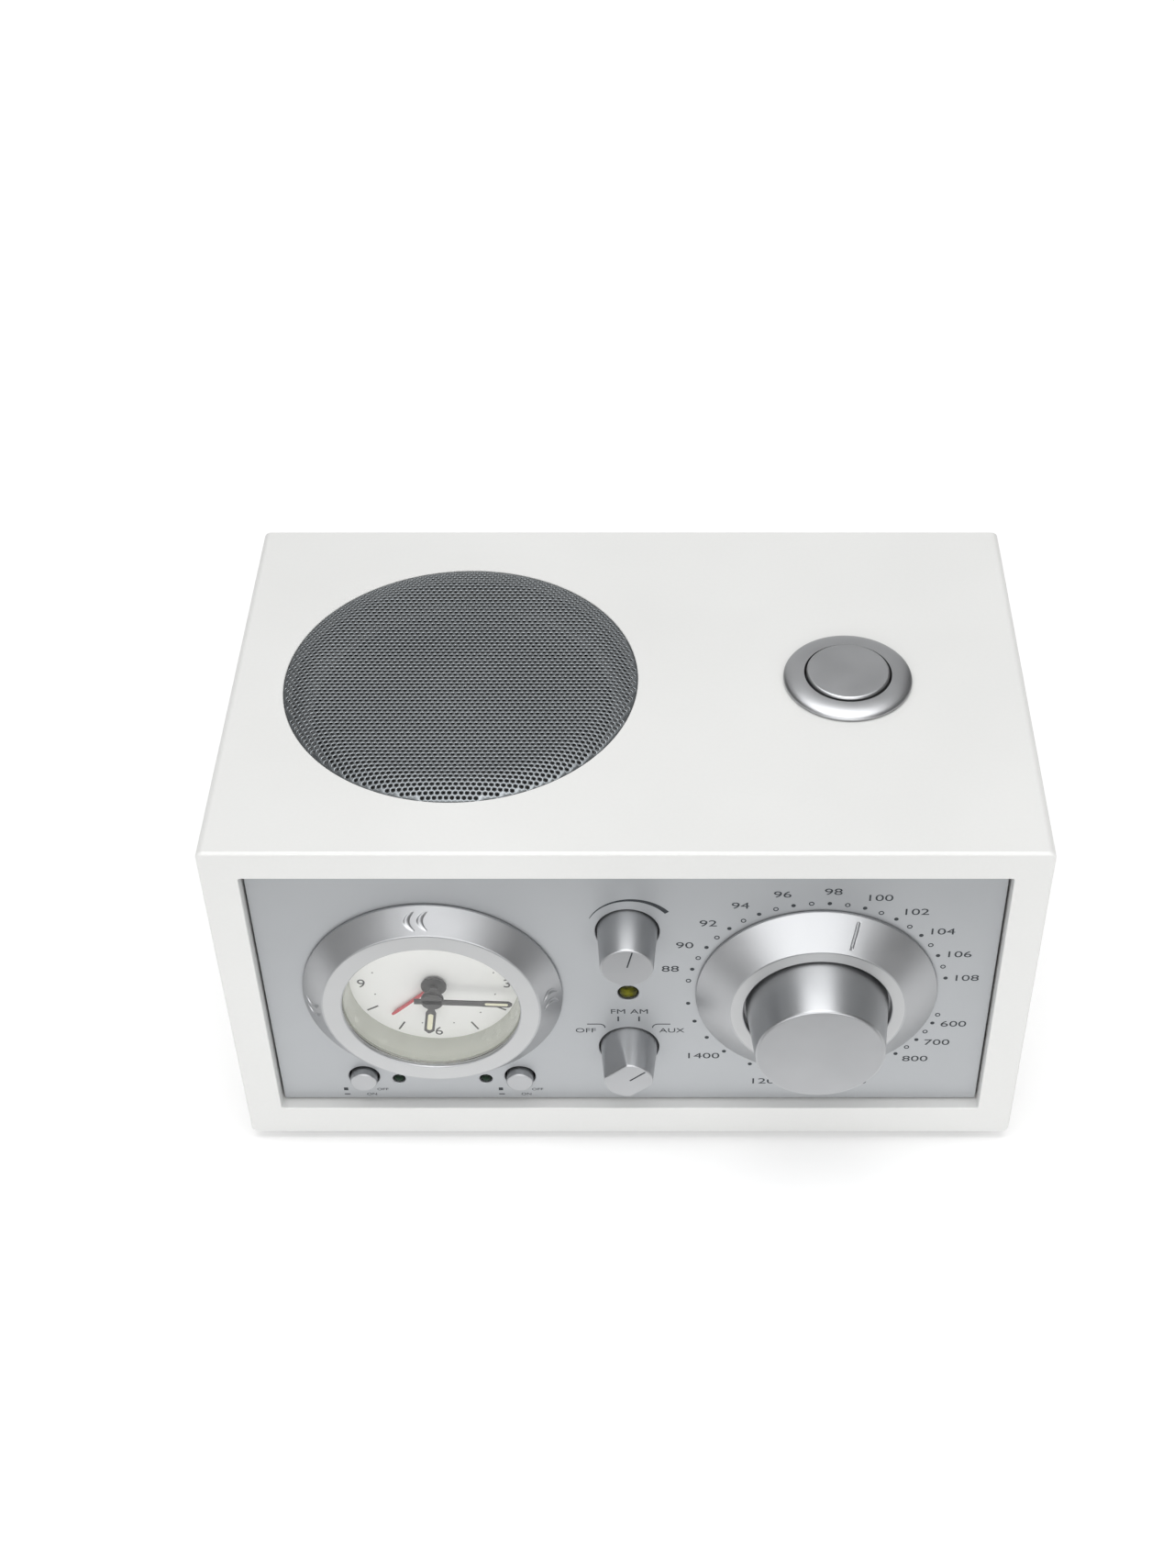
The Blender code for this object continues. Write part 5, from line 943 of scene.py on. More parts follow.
def make_clock_face():
    """The clear-walled cup, the white card on its floor, and the card's printed hours."""
    rim, seat = LENS.far + CUP_CLEAR, CARD_DEPTH + CARD_SEAT
    cup = turned_about(CLOCK, [
        (CUP_MOUTH, rim, CUP_FILLET), (CUP.radius, rim, CUP_FILLET), (CUP.radius, CUP.far),
        (CARD_HOLE, CUP.far), (CARD_HOLE, seat), (CARD_RADIUS - SEAT_BEVEL, seat, SEAT_EASE),
        (CARD_RADIUS, CARD_DEPTH, SEAT_EASE),
    ], closed=True)
    piece("clock_cup", cup, "cup_plastic", "cabinet", "dial_face", "clock_dial")
    edge, back = CARD_RADIUS - CARD_GAP, CARD_DEPTH + CARD_THICK
    card = turned_about(CLOCK, [
        (CARD_HOLE, CARD_DEPTH), (edge, CARD_DEPTH, CUP_FILLET), (edge, back), (CARD_HOLE, back),
    ], closed=True)
    piece("clock_card", card, "dial_card", "cabinet", "dial_face")
    ink = inked(CARD_DEPTH)
    shapes = [
        word(text, HOUR_HEIGHT, HOUR_STRETCH, *at_angle(CLOCK, HOUR_RADIUS, HOUR_TURN * hour), *ink)
        for hour, text in HOUR_NUMBERS.items()
    ]
    half, reach_out = TICK_WIDE / 2, TICK_LONG / 2
    tick = rounded_loop(-half, half, TICK_RADIUS - reach_out, TICK_RADIUS + reach_out, PRINT_CORNER)
    dot = circle(0, HALF_DOT_RADIUS, HALF_DOT, HALF_DOT_POINTS)
    loops = [swung(tick, HOUR_TURN * hour, CLOCK) for hour in range(12) if hour not in HOUR_NUMBERS]
    loops += [swung(dot, HOUR_TURN * (hour + 0.5), CLOCK) for hour in range(12)]
    shapes.append(plate(loops, *ink))
    piece("clock_print", joined(*shapes), "hand_black", "cabinet", "dial_face")


# Each blade hand: its CAD node, angle and hub radius, and the outline's stem and blade half widths,
# shoulder, point length, tip and tail
BLADE_HANDS = (
    ("minute_hand", 93.0, 2.9, (0.85, 1.0, 12.6, 0.9, 21.1, 4.8)),
    ("hour_hand", 187.75, 3.0, (0.9, 1.4, 4.6, 1.1, 13.8, 4.6)),
)
ALARM_ANGLE = 226.5
ALARM_OUTLINE = (0.45, 0.4, 6.0, 1.5, 16.4, 2.6)
ALARM_HUB = 3.4
ALARM_HUB_PROUD = 0.1
SHOULDER_LONG = 1.2
POINT_HALF = 0.25
HAND_CHAMFER = 0.08
NEEDLE_CHAMFER = 0.06
HUB_FILLETS = (0.2, 0.15)
LUME_SHARE = 0.5
LUME_ROUND = 0.9
LUME_SUNK = 0.12
LUME_CLEAR = (1.3, 0.2)


def hand_loop(stem, blade, shoulder, neck, tip, tail):
    """Outline of a hand that points up: a stem that widens at a shoulder into a blade and ends in a
    blunt point."""
    right = np.array([
        (stem, -tail), (stem, shoulder), (blade, shoulder + SHOULDER_LONG), (blade, tip - neck),
        (POINT_HALF, tip),
    ])
    return np.vstack([right, right[::-1] * (-1, 1)])


def hub_disc(radius, near, far):
    """A hub on the clock's axis: a disc with an eased rim."""
    front, back = HUB_FILLETS
    return turned_about(CLOCK, [(0, near), (radius, near, front), (radius, far, back), (0, far)])


def make_hands():
    """Black hands with a pale slot in the blade, each on its hub, and the thin red alarm hand behind
    them."""
    for node, angle, hub, sizes in BLADE_HANDS:
        size = reach(node)
        _, blade, shoulder, neck, tip, _ = sizes
        half = blade * LUME_SHARE
        low, high = shoulder + LUME_CLEAR[0], tip - neck - LUME_CLEAR[1]
        slot = swung(rounded_loop(-half, half, low, high, half * LUME_ROUND), angle, CLOCK)
        flat = plate([swung(hand_loop(*sizes), angle, CLOCK), slot], size.near, size.far, HAND_CHAMFER)
        shape = joined(flat, hub_disc(hub, size.near, size.far))
        piece(node + "_blade", shape, "hand_black", node, "dark_hand", node)
        lume = plate([slot], size.near + LUME_SUNK, size.far - LUME_SUNK)
        piece(node + "_lume", lume, "pale_lume", node, "dark_hand")
    size = reach("alarm_hand")
    loop = swung(hand_loop(*ALARM_OUTLINE), ALARM_ANGLE, CLOCK)
    needle = plate([loop], size.near, size.far, NEEDLE_CHAMFER)
    piece("alarm_needle", needle, "hand_red", "alarm_hand", "red_hand", "alarm_hand")
    hub = hub_disc(ALARM_HUB, size.near - ALARM_HUB_PROUD, size.far)
    piece("alarm_hub", hub, "hand_black", "alarm_hand", "dark_hand")


# Tuning dial

RING_LIP = 19.45
RING_RIM = 23.2
RING_EDGE = 2.4
RING_HOLLOW = -0.5
SLEEVE_HOLE = 5.1
INDEX_ANGLES = np.radians((18.0, 198.0))
INDEX_INNER = 24.4
INDEX_OUTER = 30.6
INDEX_HALF = 0.52
INDEX_DEEP = 0.5
INDEX_FADE = 0.3
INDEX_STEEP = 1.8
INDEX_ROWS = 40
INDEX_SPAN = 0.9
INDEX_STEP = 0.06
INDEX_CLEAR = 0.1
# How dark the index cuts are painted by their depth: a dark fill paint, with painted shade deepest in the
# cut
INDEX_FILL_AND_SHADE = 0.3
KNOB_FRONT_EDGE = 0.7
KNOB_BACK_EDGE = 0.3
KNOB_FRONT = 16.8
SHAFT_BORE = 2.7
BORE_END = -13.0


def index_cut(radius, angle):
    """Strength, from 0 to 1, of the straight cuts on the ring's slope, one for each band."""
    total = np.zeros(np.broadcast(radius, angle).shape)
    begin = smooth_step((radius - INDEX_INNER) / INDEX_FADE)
    within = begin * smooth_step((INDEX_OUTER - radius) / INDEX_FADE)
    for index in INDEX_ANGLES:
        sideways = np.abs(turned_away(angle, index) * radius)
        total = np.maximum(total, within * smooth_step(INDEX_STEEP * (1 - sideways / INDEX_HALF)))
    return total


def make_tuning_dial():
    """The sloped ring with its two index cuts, and the large knob in front of it."""
    corners = [
        (RING_LIP, RING.near, LIP_FILLET), (RING_RIM, RING.near, RIM_FILLET, INDEX_ROWS),
        (RING.radius, RING_EDGE, EDGE_FILLET), (RING.radius, BEZEL_SEAT, SEAT_FILLET),
        (SLEEVE_HOLE, BEZEL_SEAT), (SLEEVE_HOLE, RING_HOLLOW), (RING_LIP, RING_HOLLOW),
    ]
    angles = gathered_angles(INDEX_ANGLES, INDEX_SPAN / RING_RIM, INDEX_STEP / RING_RIM)
    slope = (RING.near + INDEX_CLEAR, RING_EDGE, RING_RIM)
    shape, marks = marked_ring(corners, RING, angles, index_cut, INDEX_DEEP, slope)
    # The index cuts' strength paints fill and shade into them
    piece(
        "dial_slope", shape, "satin_aluminium", "tuning_dial", "satin_aluminium", "dial_ring",
        groove=INDEX_FILL_AND_SHADE * marks)
    make_lip("dial_lip", RING, RING_RIM, RING_LIP, "tuning_dial")
    knob = turned_about(TUNER, [
        (0, TUNER.near), (KNOB_FRONT, TUNER.near, KNOB_FRONT_EDGE),
        (TUNER.radius, TUNER.far, KNOB_BACK_EDGE), (SHAFT_BORE, TUNER.far), (SHAFT_BORE, BORE_END),
        (0, BORE_END),
    ], segments=FINE_SEGMENTS)
    piece("tuner_grip", knob, "knob_aluminium", "tuning_knob", "satin_aluminium", "tuning_knob")


# Printed scales

SCALE_DOTS = 34.2
NUMBER_AWAY = (5.8, 4.35)
NUMBER_SPREAD = 2.55
NUMBER_HEIGHT = 2.25
NUMBER_STRETCH = 1.5
NUMBER_POWER = 1.5
LABEL_HEIGHT = 1.75
FM_FIRST = 88
FM_ANGLE = -74.5
FM_STEP = 15.5
FM_HALF_STEPS = range(-1, 21)
# The lower band's key frequencies and their clock angles
AM_KEYS = ((530, 600, 800, 1200, 1400, 1700), (105.5, 111.5, 138.0, 194.2, 224.5, 262.5))
AM_NUMBERS = (600, 700, 800, 1000, 1200, 1400)
AM_OPEN = (530, 650, 750)
AM_MARKS = (530, 600, 650, 700, 750, *range(800, 1701, 100))
DOT = 0.58
RING_DOT = 0.72
RING_DOT_HOLE = 0.42
DOT_POINTS = 24


def scale_number(text, angle):
    """A number beside its dot. It stands off to the side by the tangent curve of the angle's sine, and
    up or down by the cosine's power of two and a half, so that a wide number clears the dots all the
    way round."""
    x, z = at_angle(RING, SCALE_DOTS, angle)
    turn = math.radians(angle)
    x += NUMBER_AWAY[0] * math.tanh(NUMBER_SPREAD * math.sin(turn))
    z += NUMBER_AWAY[1] * math.cos(turn) * abs(math.cos(turn)) ** NUMBER_POWER
    return word(text, NUMBER_HEIGHT, NUMBER_STRETCH, x, z, *inked(PANEL.near))


def make_tuning_scale():
    """Dots and numbers round the tuning dial: the upper band steps evenly, the lower band follows its
    key angles."""
    marks = [
        (FM_ANGLE + FM_STEP * step / 2, step % 2, "" if step % 2 else str(FM_FIRST + step))
        for step in FM_HALF_STEPS
    ]
    marks += [
        (float(np.interp(band, *AM_KEYS)), band in AM_OPEN, str(band) if band in AM_NUMBERS else "")
        for band in AM_MARKS
    ]
    loops = []
    for angle, is_open, _ in marks:
        spot = at_angle(RING, SCALE_DOTS, angle)
        radii = (RING_DOT, RING_DOT_HOLE) if is_open else (DOT,)
        loops += [circle(*spot, radius, DOT_POINTS) for radius in radii]
    shapes = [scale_number(text, angle) for angle, _, text in marks if text]
    shapes.append(plate(loops, *inked(PANEL.near)))
    piece("tuning_scale", joined(*shapes), "dark_ink", "cabinet", "silver_panel")


WEDGE_ANGLES = (-63.0, 55.0)
WEDGE_POINTS = 60
WEDGE_INNER = (10.8, 11.8)
WEDGE_OUTER = (10.95, 13.1)
BAND_X = 2.8
BAND_Z = 14.7
BAND_STRETCH = 1.35
BAND_TICK = (-4.0, -2.1)
BAND_TICK_HALF = 0.22
LEADER_Z = 9.5
LEADER_X = (11.2, 7.9)
LEADER_BEND = 1.5
LEADER_POINTS = 6
BEND_POINTS = 8
LABEL_STRETCH = 1.3
SIDE_LABEL_X = 11.6
SIDE_LABEL_Z = 6.9
LEADER_WIDE = 0.3
SWITCH_LABELS = (("OFF", 4.6, -5.6), ("ON", 1.4, -7.7))
SWITCH_HEIGHT = 1.0
# The left, right, low and high edges of the two small marks beside a button, from its middle
SWITCH_MARKS = ((-6.2, -5.0, -6.1, -4.9), (-6.2, -4.6, -7.9, -7.5))
SWITCH_CORNER = 0.1


def volume_wedge():
    """The swelling arc over the volume knob: two arcs whose radii grow evenly along them, joined end to
    end."""
    angle = np.radians(np.linspace(*WEDGE_ANGLES, WEDGE_POINTS))
    outer, inner = (np.linspace(*radii, WEDGE_POINTS) for radii in (WEDGE_OUTER, WEDGE_INNER))
    radius = np.concatenate([outer, inner[::-1]])
    angle = np.concatenate([angle, angle[::-1]])
    return np.column_stack([VOLUME.x + radius * np.sin(angle), VOLUME.z + radius * np.cos(angle)])


def leader_line(side):
    """A line beside the source knob: a level run, then a quarter circle that bends down towards the
    knob."""
    far_x, near_x = (SOURCE.x + side * away for away in LEADER_X)
    z = SOURCE.z + LEADER_Z
    bend = quarter_turn(BEND_POINTS)[1:]
    run = np.column_stack([np.linspace(far_x, near_x, LEADER_POINTS), np.full(LEADER_POINTS, z)])
    curl = np.column_stack([
        near_x - side * LEADER_BEND * np.sin(bend), z - LEADER_BEND * (1 - np.cos(bend)),
    ])
    return strip(np.vstack([run, curl]), LEADER_WIDE)


def make_control_prints():
    """The arc over the volume knob, the names round the source knob with their ticks and leader lines,
    and the small words beside the two buttons."""
    ink = inked(PANEL.near)
    loops, shapes = [volume_wedge()], []
    tick_low, tick_high = (SOURCE.z + BAND_Z + end for end in BAND_TICK)
    for side, band, name in ((-1, "FM", "OFF"), (1, "AM", "AUX")):
        x = SOURCE.x + side * BAND_X
        shapes.append(word(band, LABEL_HEIGHT, BAND_STRETCH, x, SOURCE.z + BAND_Z, *ink))
        left, right = x - BAND_TICK_HALF, x + BAND_TICK_HALF
        loops.append(rounded_loop(left, right, tick_low, tick_high, PRINT_CORNER))
        loops.append(leader_line(side))
        x, z = SOURCE.x + side * SIDE_LABEL_X, SOURCE.z + SIDE_LABEL_Z
        shapes.append(word(name, LABEL_HEIGHT, LABEL_STRETCH, x, z, *ink))
    for button in map(reach, BUTTONS):
        for text, right, up in SWITCH_LABELS:
            shapes.append(word(text, SWITCH_HEIGHT, LABEL_STRETCH, button.x + right, button.z + up, *ink))
        for left, right, low, high in SWITCH_MARKS:
            loops.append(rounded_loop(
                button.x + left, button.x + right, button.z + low, button.z + high, SWITCH_CORNER))
    shapes.append(plate(loops, *ink))
    piece("control_print", joined(*shapes), "dark_ink", "cabinet", "silver_panel")


# Volume and source knobs

FLAT_FRONT = 5.2
FLAT_BACK = 7.7
FLAT_BLEND = 0.08
SOURCE_TIP = 6.5
VOLUME_TIP = 6.8
KNOB_EDGE = 0.45
STEM_BORE = 3.2
STEM_START = 4.3
POINTER_WIDE = 0.4
POINTER_START = 0.4
POINTER_SHORT = 0.15
EDGE_ROWS = 7
SIDE_ROWS = 28
CONTROL_KNOBS = [
    SimpleNamespace(node="volume_knob", size=VOLUME, angle=13.5, tip=VOLUME_TIP, flat=None),
    SimpleNamespace(
        node="source_knob", size=SOURCE, angle=49.0, tip=SOURCE_TIP, flat=(FLAT_FRONT, FLAT_BACK)),
]


def control_knob(knob):
    """A tapered knob, drawn in along a quarter circle at its front edge, with a bore for the shaft in
    its back. With flats, its section round the axis is the lesser of the taper's radius and the
    flat's distance over the sine of the angle from the pointer, the two blended where they meet; the
    flats slope out from the front to the panel."""
    front, back = knob.size.near, knob.size.far
    turn = quarter_turn(EDGE_ROWS)
    edge = np.column_stack([front + KNOB_EDGE * (1 - np.cos(turn)), KNOB_EDGE * (1 - np.sin(turn))])
    side = np.linspace(front + KNOB_EDGE + SUPPORT, back, SIDE_ROWS)
    rows = np.vstack([[(front, KNOB_EDGE + SUPPORT)], edge, np.column_stack([side, 0 * side])])
    depth, inset = rows[:, :1], rows[:, 1:]
    columns = full_turn(FINE_SEGMENTS)[None]
    taper = (knob.size.radius - knob.tip) * (depth - front) / (back - front)
    section = knob.tip + taper + 0 * columns
    if knob.flat:
        start, end = knob.flat
        flat = start + (end - start) * (depth - front) / (PANEL.near - front)
        limit = flat / np.maximum(np.abs(np.sin(columns)), MERGE)
        apart = np.abs(section - limit)
        section = np.minimum(section, limit) - FLAT_BLEND * np.log1p(np.exp(-apart / FLAT_BLEND))
    bore = np.array([(STEM_BORE, back), (STEM_BORE, front + STEM_START), (0.0, front + STEM_START)])
    radius = np.vstack([0 * columns, section - inset, bore[:, :1] + 0 * columns])
    along = np.vstack([[[front]], depth, bore[:, 1:]])
    points = around_front(knob.size)(radius, along, columns + math.radians(knob.angle))
    return points, grid_faces(*radius.shape)


def make_control_knobs():
    """Both small knobs, each with a thin dark pointer line set into its face."""
    half = POINTER_WIDE / 2
    for knob in CONTROL_KNOBS:
        shape = control_knob(knob)
        piece(knob.node + "_grip", shape, "knob_aluminium", knob.node, "satin_aluminium", knob.node)
        end = knob.tip - KNOB_EDGE - POINTER_SHORT
        line = rounded_loop(-half, half, POINTER_START, end, PRINT_CORNER)
        shape = plate([swung(line, knob.angle, knob.size)], *inked(knob.size.near))
        piece(knob.node + "_pointer", shape, "dark_ink", knob.node, "satin_aluminium")


# Buttons and lamps

BUTTON_EDGE = 0.5
BUTTON_CROWN = 0.15
BUTTON_FLAT = 0.55
BUTTON_BACK_EDGE = 0.2
BUTTON_SEGMENTS = 96
CROWN_DIP = 0.03
LAMP_DOME = 0.9
LAMP_ROWS = 10
SMALL_SEGMENTS = 64
CAP_BACK = 5.5
STEM_RADIUS = 1.6


def make_buttons_and_lamps():
    """Two push buttons with a faintly crowned face and an eased rim, and three domed lamps."""
    for node in BUTTONS:
        size = reach(node)
        cap = turned_about(size, [
            (0, size.near), (size.radius * BUTTON_FLAT, size.near + CROWN_DIP),
            (size.radius, size.near + BUTTON_CROWN, BUTTON_EDGE), (size.radius, CAP_BACK, BUTTON_BACK_EDGE),
            (STEM_RADIUS, CAP_BACK), (STEM_RADIUS, size.far, BUTTON_BACK_EDGE), (0, size.far),
        ], segments=BUTTON_SEGMENTS)
        piece(node + "_cap", cap, "satin_aluminium", node, "satin_aluminium", node)
    turn = quarter_turn(LAMP_ROWS)
    for node in LAMPS:
        size = reach(node)
        finish = "lamp_olive" if node == "power_led" else "lamp_green"
        dome = np.column_stack([size.radius * np.sin(turn), size.near + LAMP_DOME * (1 - np.cos(turn))])
        profile = np.vstack([dome, [(size.radius, size.far), (0, size.far)]])
        shape = turned(profile, around_front(size), segments=SMALL_SEGMENTS)
        # The way out from the middle sets the painted bright middle and painted dark rim
        outward = np.repeat(profile[:, 0] / size.radius, SMALL_SEGMENTS)
        piece(node + "_dome", shape, finish, "cabinet", finish, node, groove=outward)


# Snooze button

SNOOZE_INNER = 11.75
SNOOZE_FLOAT = 0.3
SNOOZE_LIP = 0.4
SLEEVE_RADIUS = 13.6
CAP_EDGE = 0.6
CAP_CROWN = 0.12
CAP_FLAT = 0.6
CAP_FOOT = 0.3
DOME_ROWS = 24
DOME_UNDERCUT = 0.15
RIM_STEP = 0.12


def make_snooze():
    """The domed surround, a quarter ellipse from its outer edge up to its inner rim, and the flat button
    inside."""
    under = CABINET.top + SNOOZE_FLOAT
    edge = under + SNOOZE_LIP
    turn = quarter_turn(DOME_ROWS)
    across = SNOOZE_INNER + (SNOOZE.radius - SNOOZE_INNER) * np.sin(turn)
    profile = np.vstack([
        np.column_stack([across, edge + (SNOOZE.top - edge) * np.cos(turn)]),
        [(SNOOZE.radius - DOME_UNDERCUT, under), (SLEEVE_RADIUS, under), (SLEEVE_RADIUS, SNOOZE.bottom)],
        [(SNOOZE_INNER, SNOOZE.bottom), (SNOOZE_INNER, SNOOZE.top - RIM_STEP)],
    ])
    shape = turned(profile, around_upright(SNOOZE), closed=True)
    piece("snooze_surround", shape, "satin_aluminium", "cabinet", "satin_aluminium", "snooze_ring")
    size = reach("snooze_button")
    cap = turned_about(size, [
        (0, size.top), (size.radius * CAP_FLAT, size.top - CROWN_DIP),
        (size.radius, size.top - CAP_CROWN, CAP_EDGE), (size.radius, size.bottom, CAP_FOOT),
        (0, size.bottom),
    ], place=around_upright)
    piece("snooze_cap", cap, "satin_aluminium", "snooze_button", "satin_aluminium", "snooze_button")


# Feet, port and back

FEET = ("foot_front_left", "foot_front_right", "foot_back_left", "foot_back_right")
FOOT_HIGH = 2.5
FOOT_PEG = 2.0
FOOT_DISH = 0.25
FOOT_DISH_FLAT = 0.55
FOOT_DISH_EDGE = 0.65
FOOT_TAPER = 0.3
# Fillets of a foot's dish, of the ring round it, of its outer edge, and of its top and its peg
FOOT_FILLETS = (0.2, 0.15, 0.6, 0.3)
FOOT_SEGMENTS = 72
PORT_BORE = 15.2
PORT_WALL = 17.0
PORT_FLARE = 2.2
PORT_LIP = 0.3
PORT_ROWS = 10
FLANGE_LOW = 13.9
FLANGE_HIGH = 15.9


def make_feet_and_port():
    """Four rubber feet with a shallow dished sole, and the flared bass port that opens downwards between
    them."""
    dish, sole, rim, top = FOOT_FILLETS
    for node in FEET:
        size = reach(node)
        pad = turned_about(size, [
            (0, FOOT_DISH), (size.radius * FOOT_DISH_FLAT, FOOT_DISH, dish),
            (size.radius * FOOT_DISH_EDGE, 0, sole), (size.radius, 0, rim),
            (size.radius - FOOT_TAPER, FOOT_HIGH, top), (FOOT_PEG, FOOT_HIGH), (FOOT_PEG, size.top, top),
            (0, size.top),
        ], segments=FOOT_SEGMENTS, place=around_upright)
        piece(node + "_pad", pad, "rubber", "cabinet", "rubber", node)
    turn = quarter_turn(PORT_ROWS)
    mouth = PORT_WALL - PORT_LIP
    profile = np.vstack([
        np.column_stack([
            mouth - (mouth - PORT_BORE) * np.sin(turn), PORT.bottom + PORT_FLARE * (1 - np.cos(turn)),
        ]),
        [(PORT_BORE, PORT.top), (PORT_WALL, PORT.top), (PORT_WALL, FLANGE_HIGH)],
        [(PORT.radius, FLANGE_HIGH), (PORT.radius, FLANGE_LOW), (PORT_WALL, FLANGE_LOW)],
        [(PORT_WALL, PORT.bottom)],
    ])
    shape = turned(profile, around_upright(PORT), closed=True)
    piece("port_tube", shape, "black_plastic", "cabinet", "black_plastic", "bass_port")


SCREWS = ("back_screw_left_low", "back_screw_left_high", "back_screw_right_low", "back_screw_right_high")
SCREW_HOLE = 1.7
SCREW_SHANK = 1.4
SCREW_HEAD_HIGH = 1.5
SCREW_CROWN = 0.3
SCREW_FLAT = 0.6
SCREW_DIP = 0.04
SCREW_SEAT_EDGE = 0.12
SCREW_POINT = 0.4
HOLE_POINTS = 48
SCREW_HOLE_POINTS = 32
BACK_CORNER = 0.6
BACK_CHAMFER = 0.2
SCREW_TURN = 37
CROSS_LONG = 1.55
CROSS_WIDE = 0.38
CROSS_DEEP = 0.9
HOLE_CLEAR = 0.3
BODY_BACK = 125.4
# Each jack: its body, nose and bore radii, the depths of its mouth and of its bore
JACKS = {
    "headphone_jack": SimpleNamespace(body=5.0, nose=3.0, bore=1.8, mouth=129.0, deep=14.0),
    "aux_jack": SimpleNamespace(body=5.0, nose=3.0, bore=1.8, mouth=129.0, deep=14.0),
    "antenna_jack": SimpleNamespace(body=6.5, nose=4.7, bore=0.9, mouth=130.8, deep=8.0),
}
NUT_GAP = 0.05
NUT_SEAT = 0.02
RING_NUT = 4.7
RING_NUT_HIGH = 0.65
KNURLS = 30
KNURL_DEEP = 0.14
KNURL_POINTS = 8
NUT_EDGE = (0.25, 0.15)
HEX_NUT = 6.6
HEX_NUT_HIGH = 1.1
HEX_NUT_CHAMFER = 0.15
HEX_NUT_GAP = 0.3
THREAD_PITCH = 0.5
THREAD_DEEP = 0.22
THREAD_ROOT = 4.6
THREAD_SKIN = 0.1
THREAD_ROWS = 12
THREAD_SHORT = 0.15
CORE_RADIUS = 3.4
CORE_PROUD = 0.2
CORE_EDGE = 0.08
CORE_GAP = 0.05
JACK_EDGE = 0.4
NOSE_EDGE = 0.25
MOUTH_EASE = 0.1
INLET_BODY = (22.0, 15.0, 1.0)
INLET_COLLAR = (19.0, 12.0, 3.0)
INLET_SOCKET = (15.0, 8.0, 3.6)
INLET_FLOOR = 114.2
INLET_PIN = 1.2
INLET_PIN_APART = 4.3
INLET_PIN_END = 126.2
INLET_CHAMFER = 0.25
INLET_OVERLAP = 0.1
PIN_ROWS = 8
PIN_SEGMENTS = 40


def oblong(axis, size, grow=0.0):
    """Rounded rectangle of (width, height, corner) about a place on the back, grown by a clearance."""
    wide, high, corner = size[0] / 2 + grow, size[1] / 2 + grow, size[2] + grow
    return rounded_loop(axis.x - wide, axis.x + wide, axis.z - high, axis.z + high, corner)


def make_back_panel():
    """The black plate with a hole for every screw, jack and the inlet."""
    holes = [(reach(node), SCREW_HOLE, SCREW_HOLE_POINTS) for node in SCREWS]
    holes += [(reach(node), jack.nose + HOLE_CLEAR, HOLE_POINTS) for node, jack in JACKS.items()]
    loops = [
        rounded_loop(BACK.left, BACK.right, BACK.bottom, BACK.top, BACK_CORNER),
        oblong(reach("mains_inlet"), INLET_COLLAR, HOLE_CLEAR),
    ]
    loops += [circle(size.x, size.z, radius, count) for size, radius, count in holes]
    shape = plate(loops, BACK.near, BACK.far, BACK_CHAMFER)
    piece("back_plate", shape, "black_plastic", "cabinet", "black_plastic", "back_panel")


def make_back_screws():
    """Pan-head screws: a turned head and shank, with a cross of four equal arms sunk into the head."""
    arm = np.array([(CROSS_WIDE, CROSS_LONG), (CROSS_WIDE, CROSS_WIDE), (CROSS_LONG, CROSS_WIDE)])
    for index, node in enumerate(SCREWS):
        size = reach(node)
        seat = size.far - SCREW_HEAD_HIGH
        shape = turned_about(size, [
            (0, size.far), (size.radius * SCREW_FLAT, size.far - SCREW_DIP),
            (size.radius, size.far - SCREW_CROWN, RIM_FILLET), (size.radius, seat, SCREW_SEAT_EDGE),
            (SCREW_SHANK, seat), (SCREW_SHANK, size.near, SCREW_POINT), (0, size.near),
        ], segments=SMALL_SEGMENTS)
        head = piece(node + "_head", shape, "steel", "cabinet", "steel", node)
        cross = np.vstack([swung(arm, 90 * quarter + SCREW_TURN * index, size) for quarter in range(4)])
        shape = plate([cross], size.far - CROSS_DEEP, size.far + CROSS_DEEP)
        cut(head, new_object("cross_cut", shape, FINISH["steel"]))


def knurled_nut(size, hole):
    """A flat ring nut whose rim ripples: its radius falls by the size of a sine, many times round."""
    angles = full_turn(KNURLS * KNURL_POINTS)[None]
    inset, ease = NUT_EDGE
    rows = np.array([(inset, 0.0), (0.0, ease), (0.0, RING_NUT_HIGH - ease), (inset, RING_NUT_HIGH)])
    rim = RING_NUT - rows[:, :1] - KNURL_DEEP * np.abs(np.sin(KNURLS * angles / 2))
    inner = np.array([(hole, RING_NUT_HIGH), (hole, 0.0)])
    radius = np.vstack([rim, inner[:, :1] + 0 * angles])
    along = BACK.far + NUT_SEAT + np.vstack([rows[:, 1:], inner[:, 1:]])
    return around_front(size)(radius, along, angles), grid_faces(*radius.shape, wrap_rows=True)


def threaded_sleeve(size, start, end):
    """A screw thread: the radius swings between root and crest as a triangle wave of the way along,
    which moves on by one pitch in each turn, and fades out at both ends."""
    angles = full_turn()[None]
    along = np.linspace(start, end, int((end - start) / THREAD_PITCH * THREAD_ROWS))[:, None]
    phase = (along / THREAD_PITCH - angles / (2 * math.pi)) % 1.0
    fade = smooth_step((along - start) / THREAD_PITCH) * smooth_step((end - along) / THREAD_PITCH)
    crest = THREAD_ROOT + THREAD_SKIN + THREAD_DEEP * fade * (1 - np.abs(2 * phase - 1))
    inside = THREAD_ROOT - THREAD_SKIN + 0 * angles
    radius = np.vstack([inside, crest, inside])
    along = np.vstack([along[:1], along, along[-1:]])
    return around_front(size)(radius, along, angles), grid_faces(*radius.shape, wrap_rows=True)


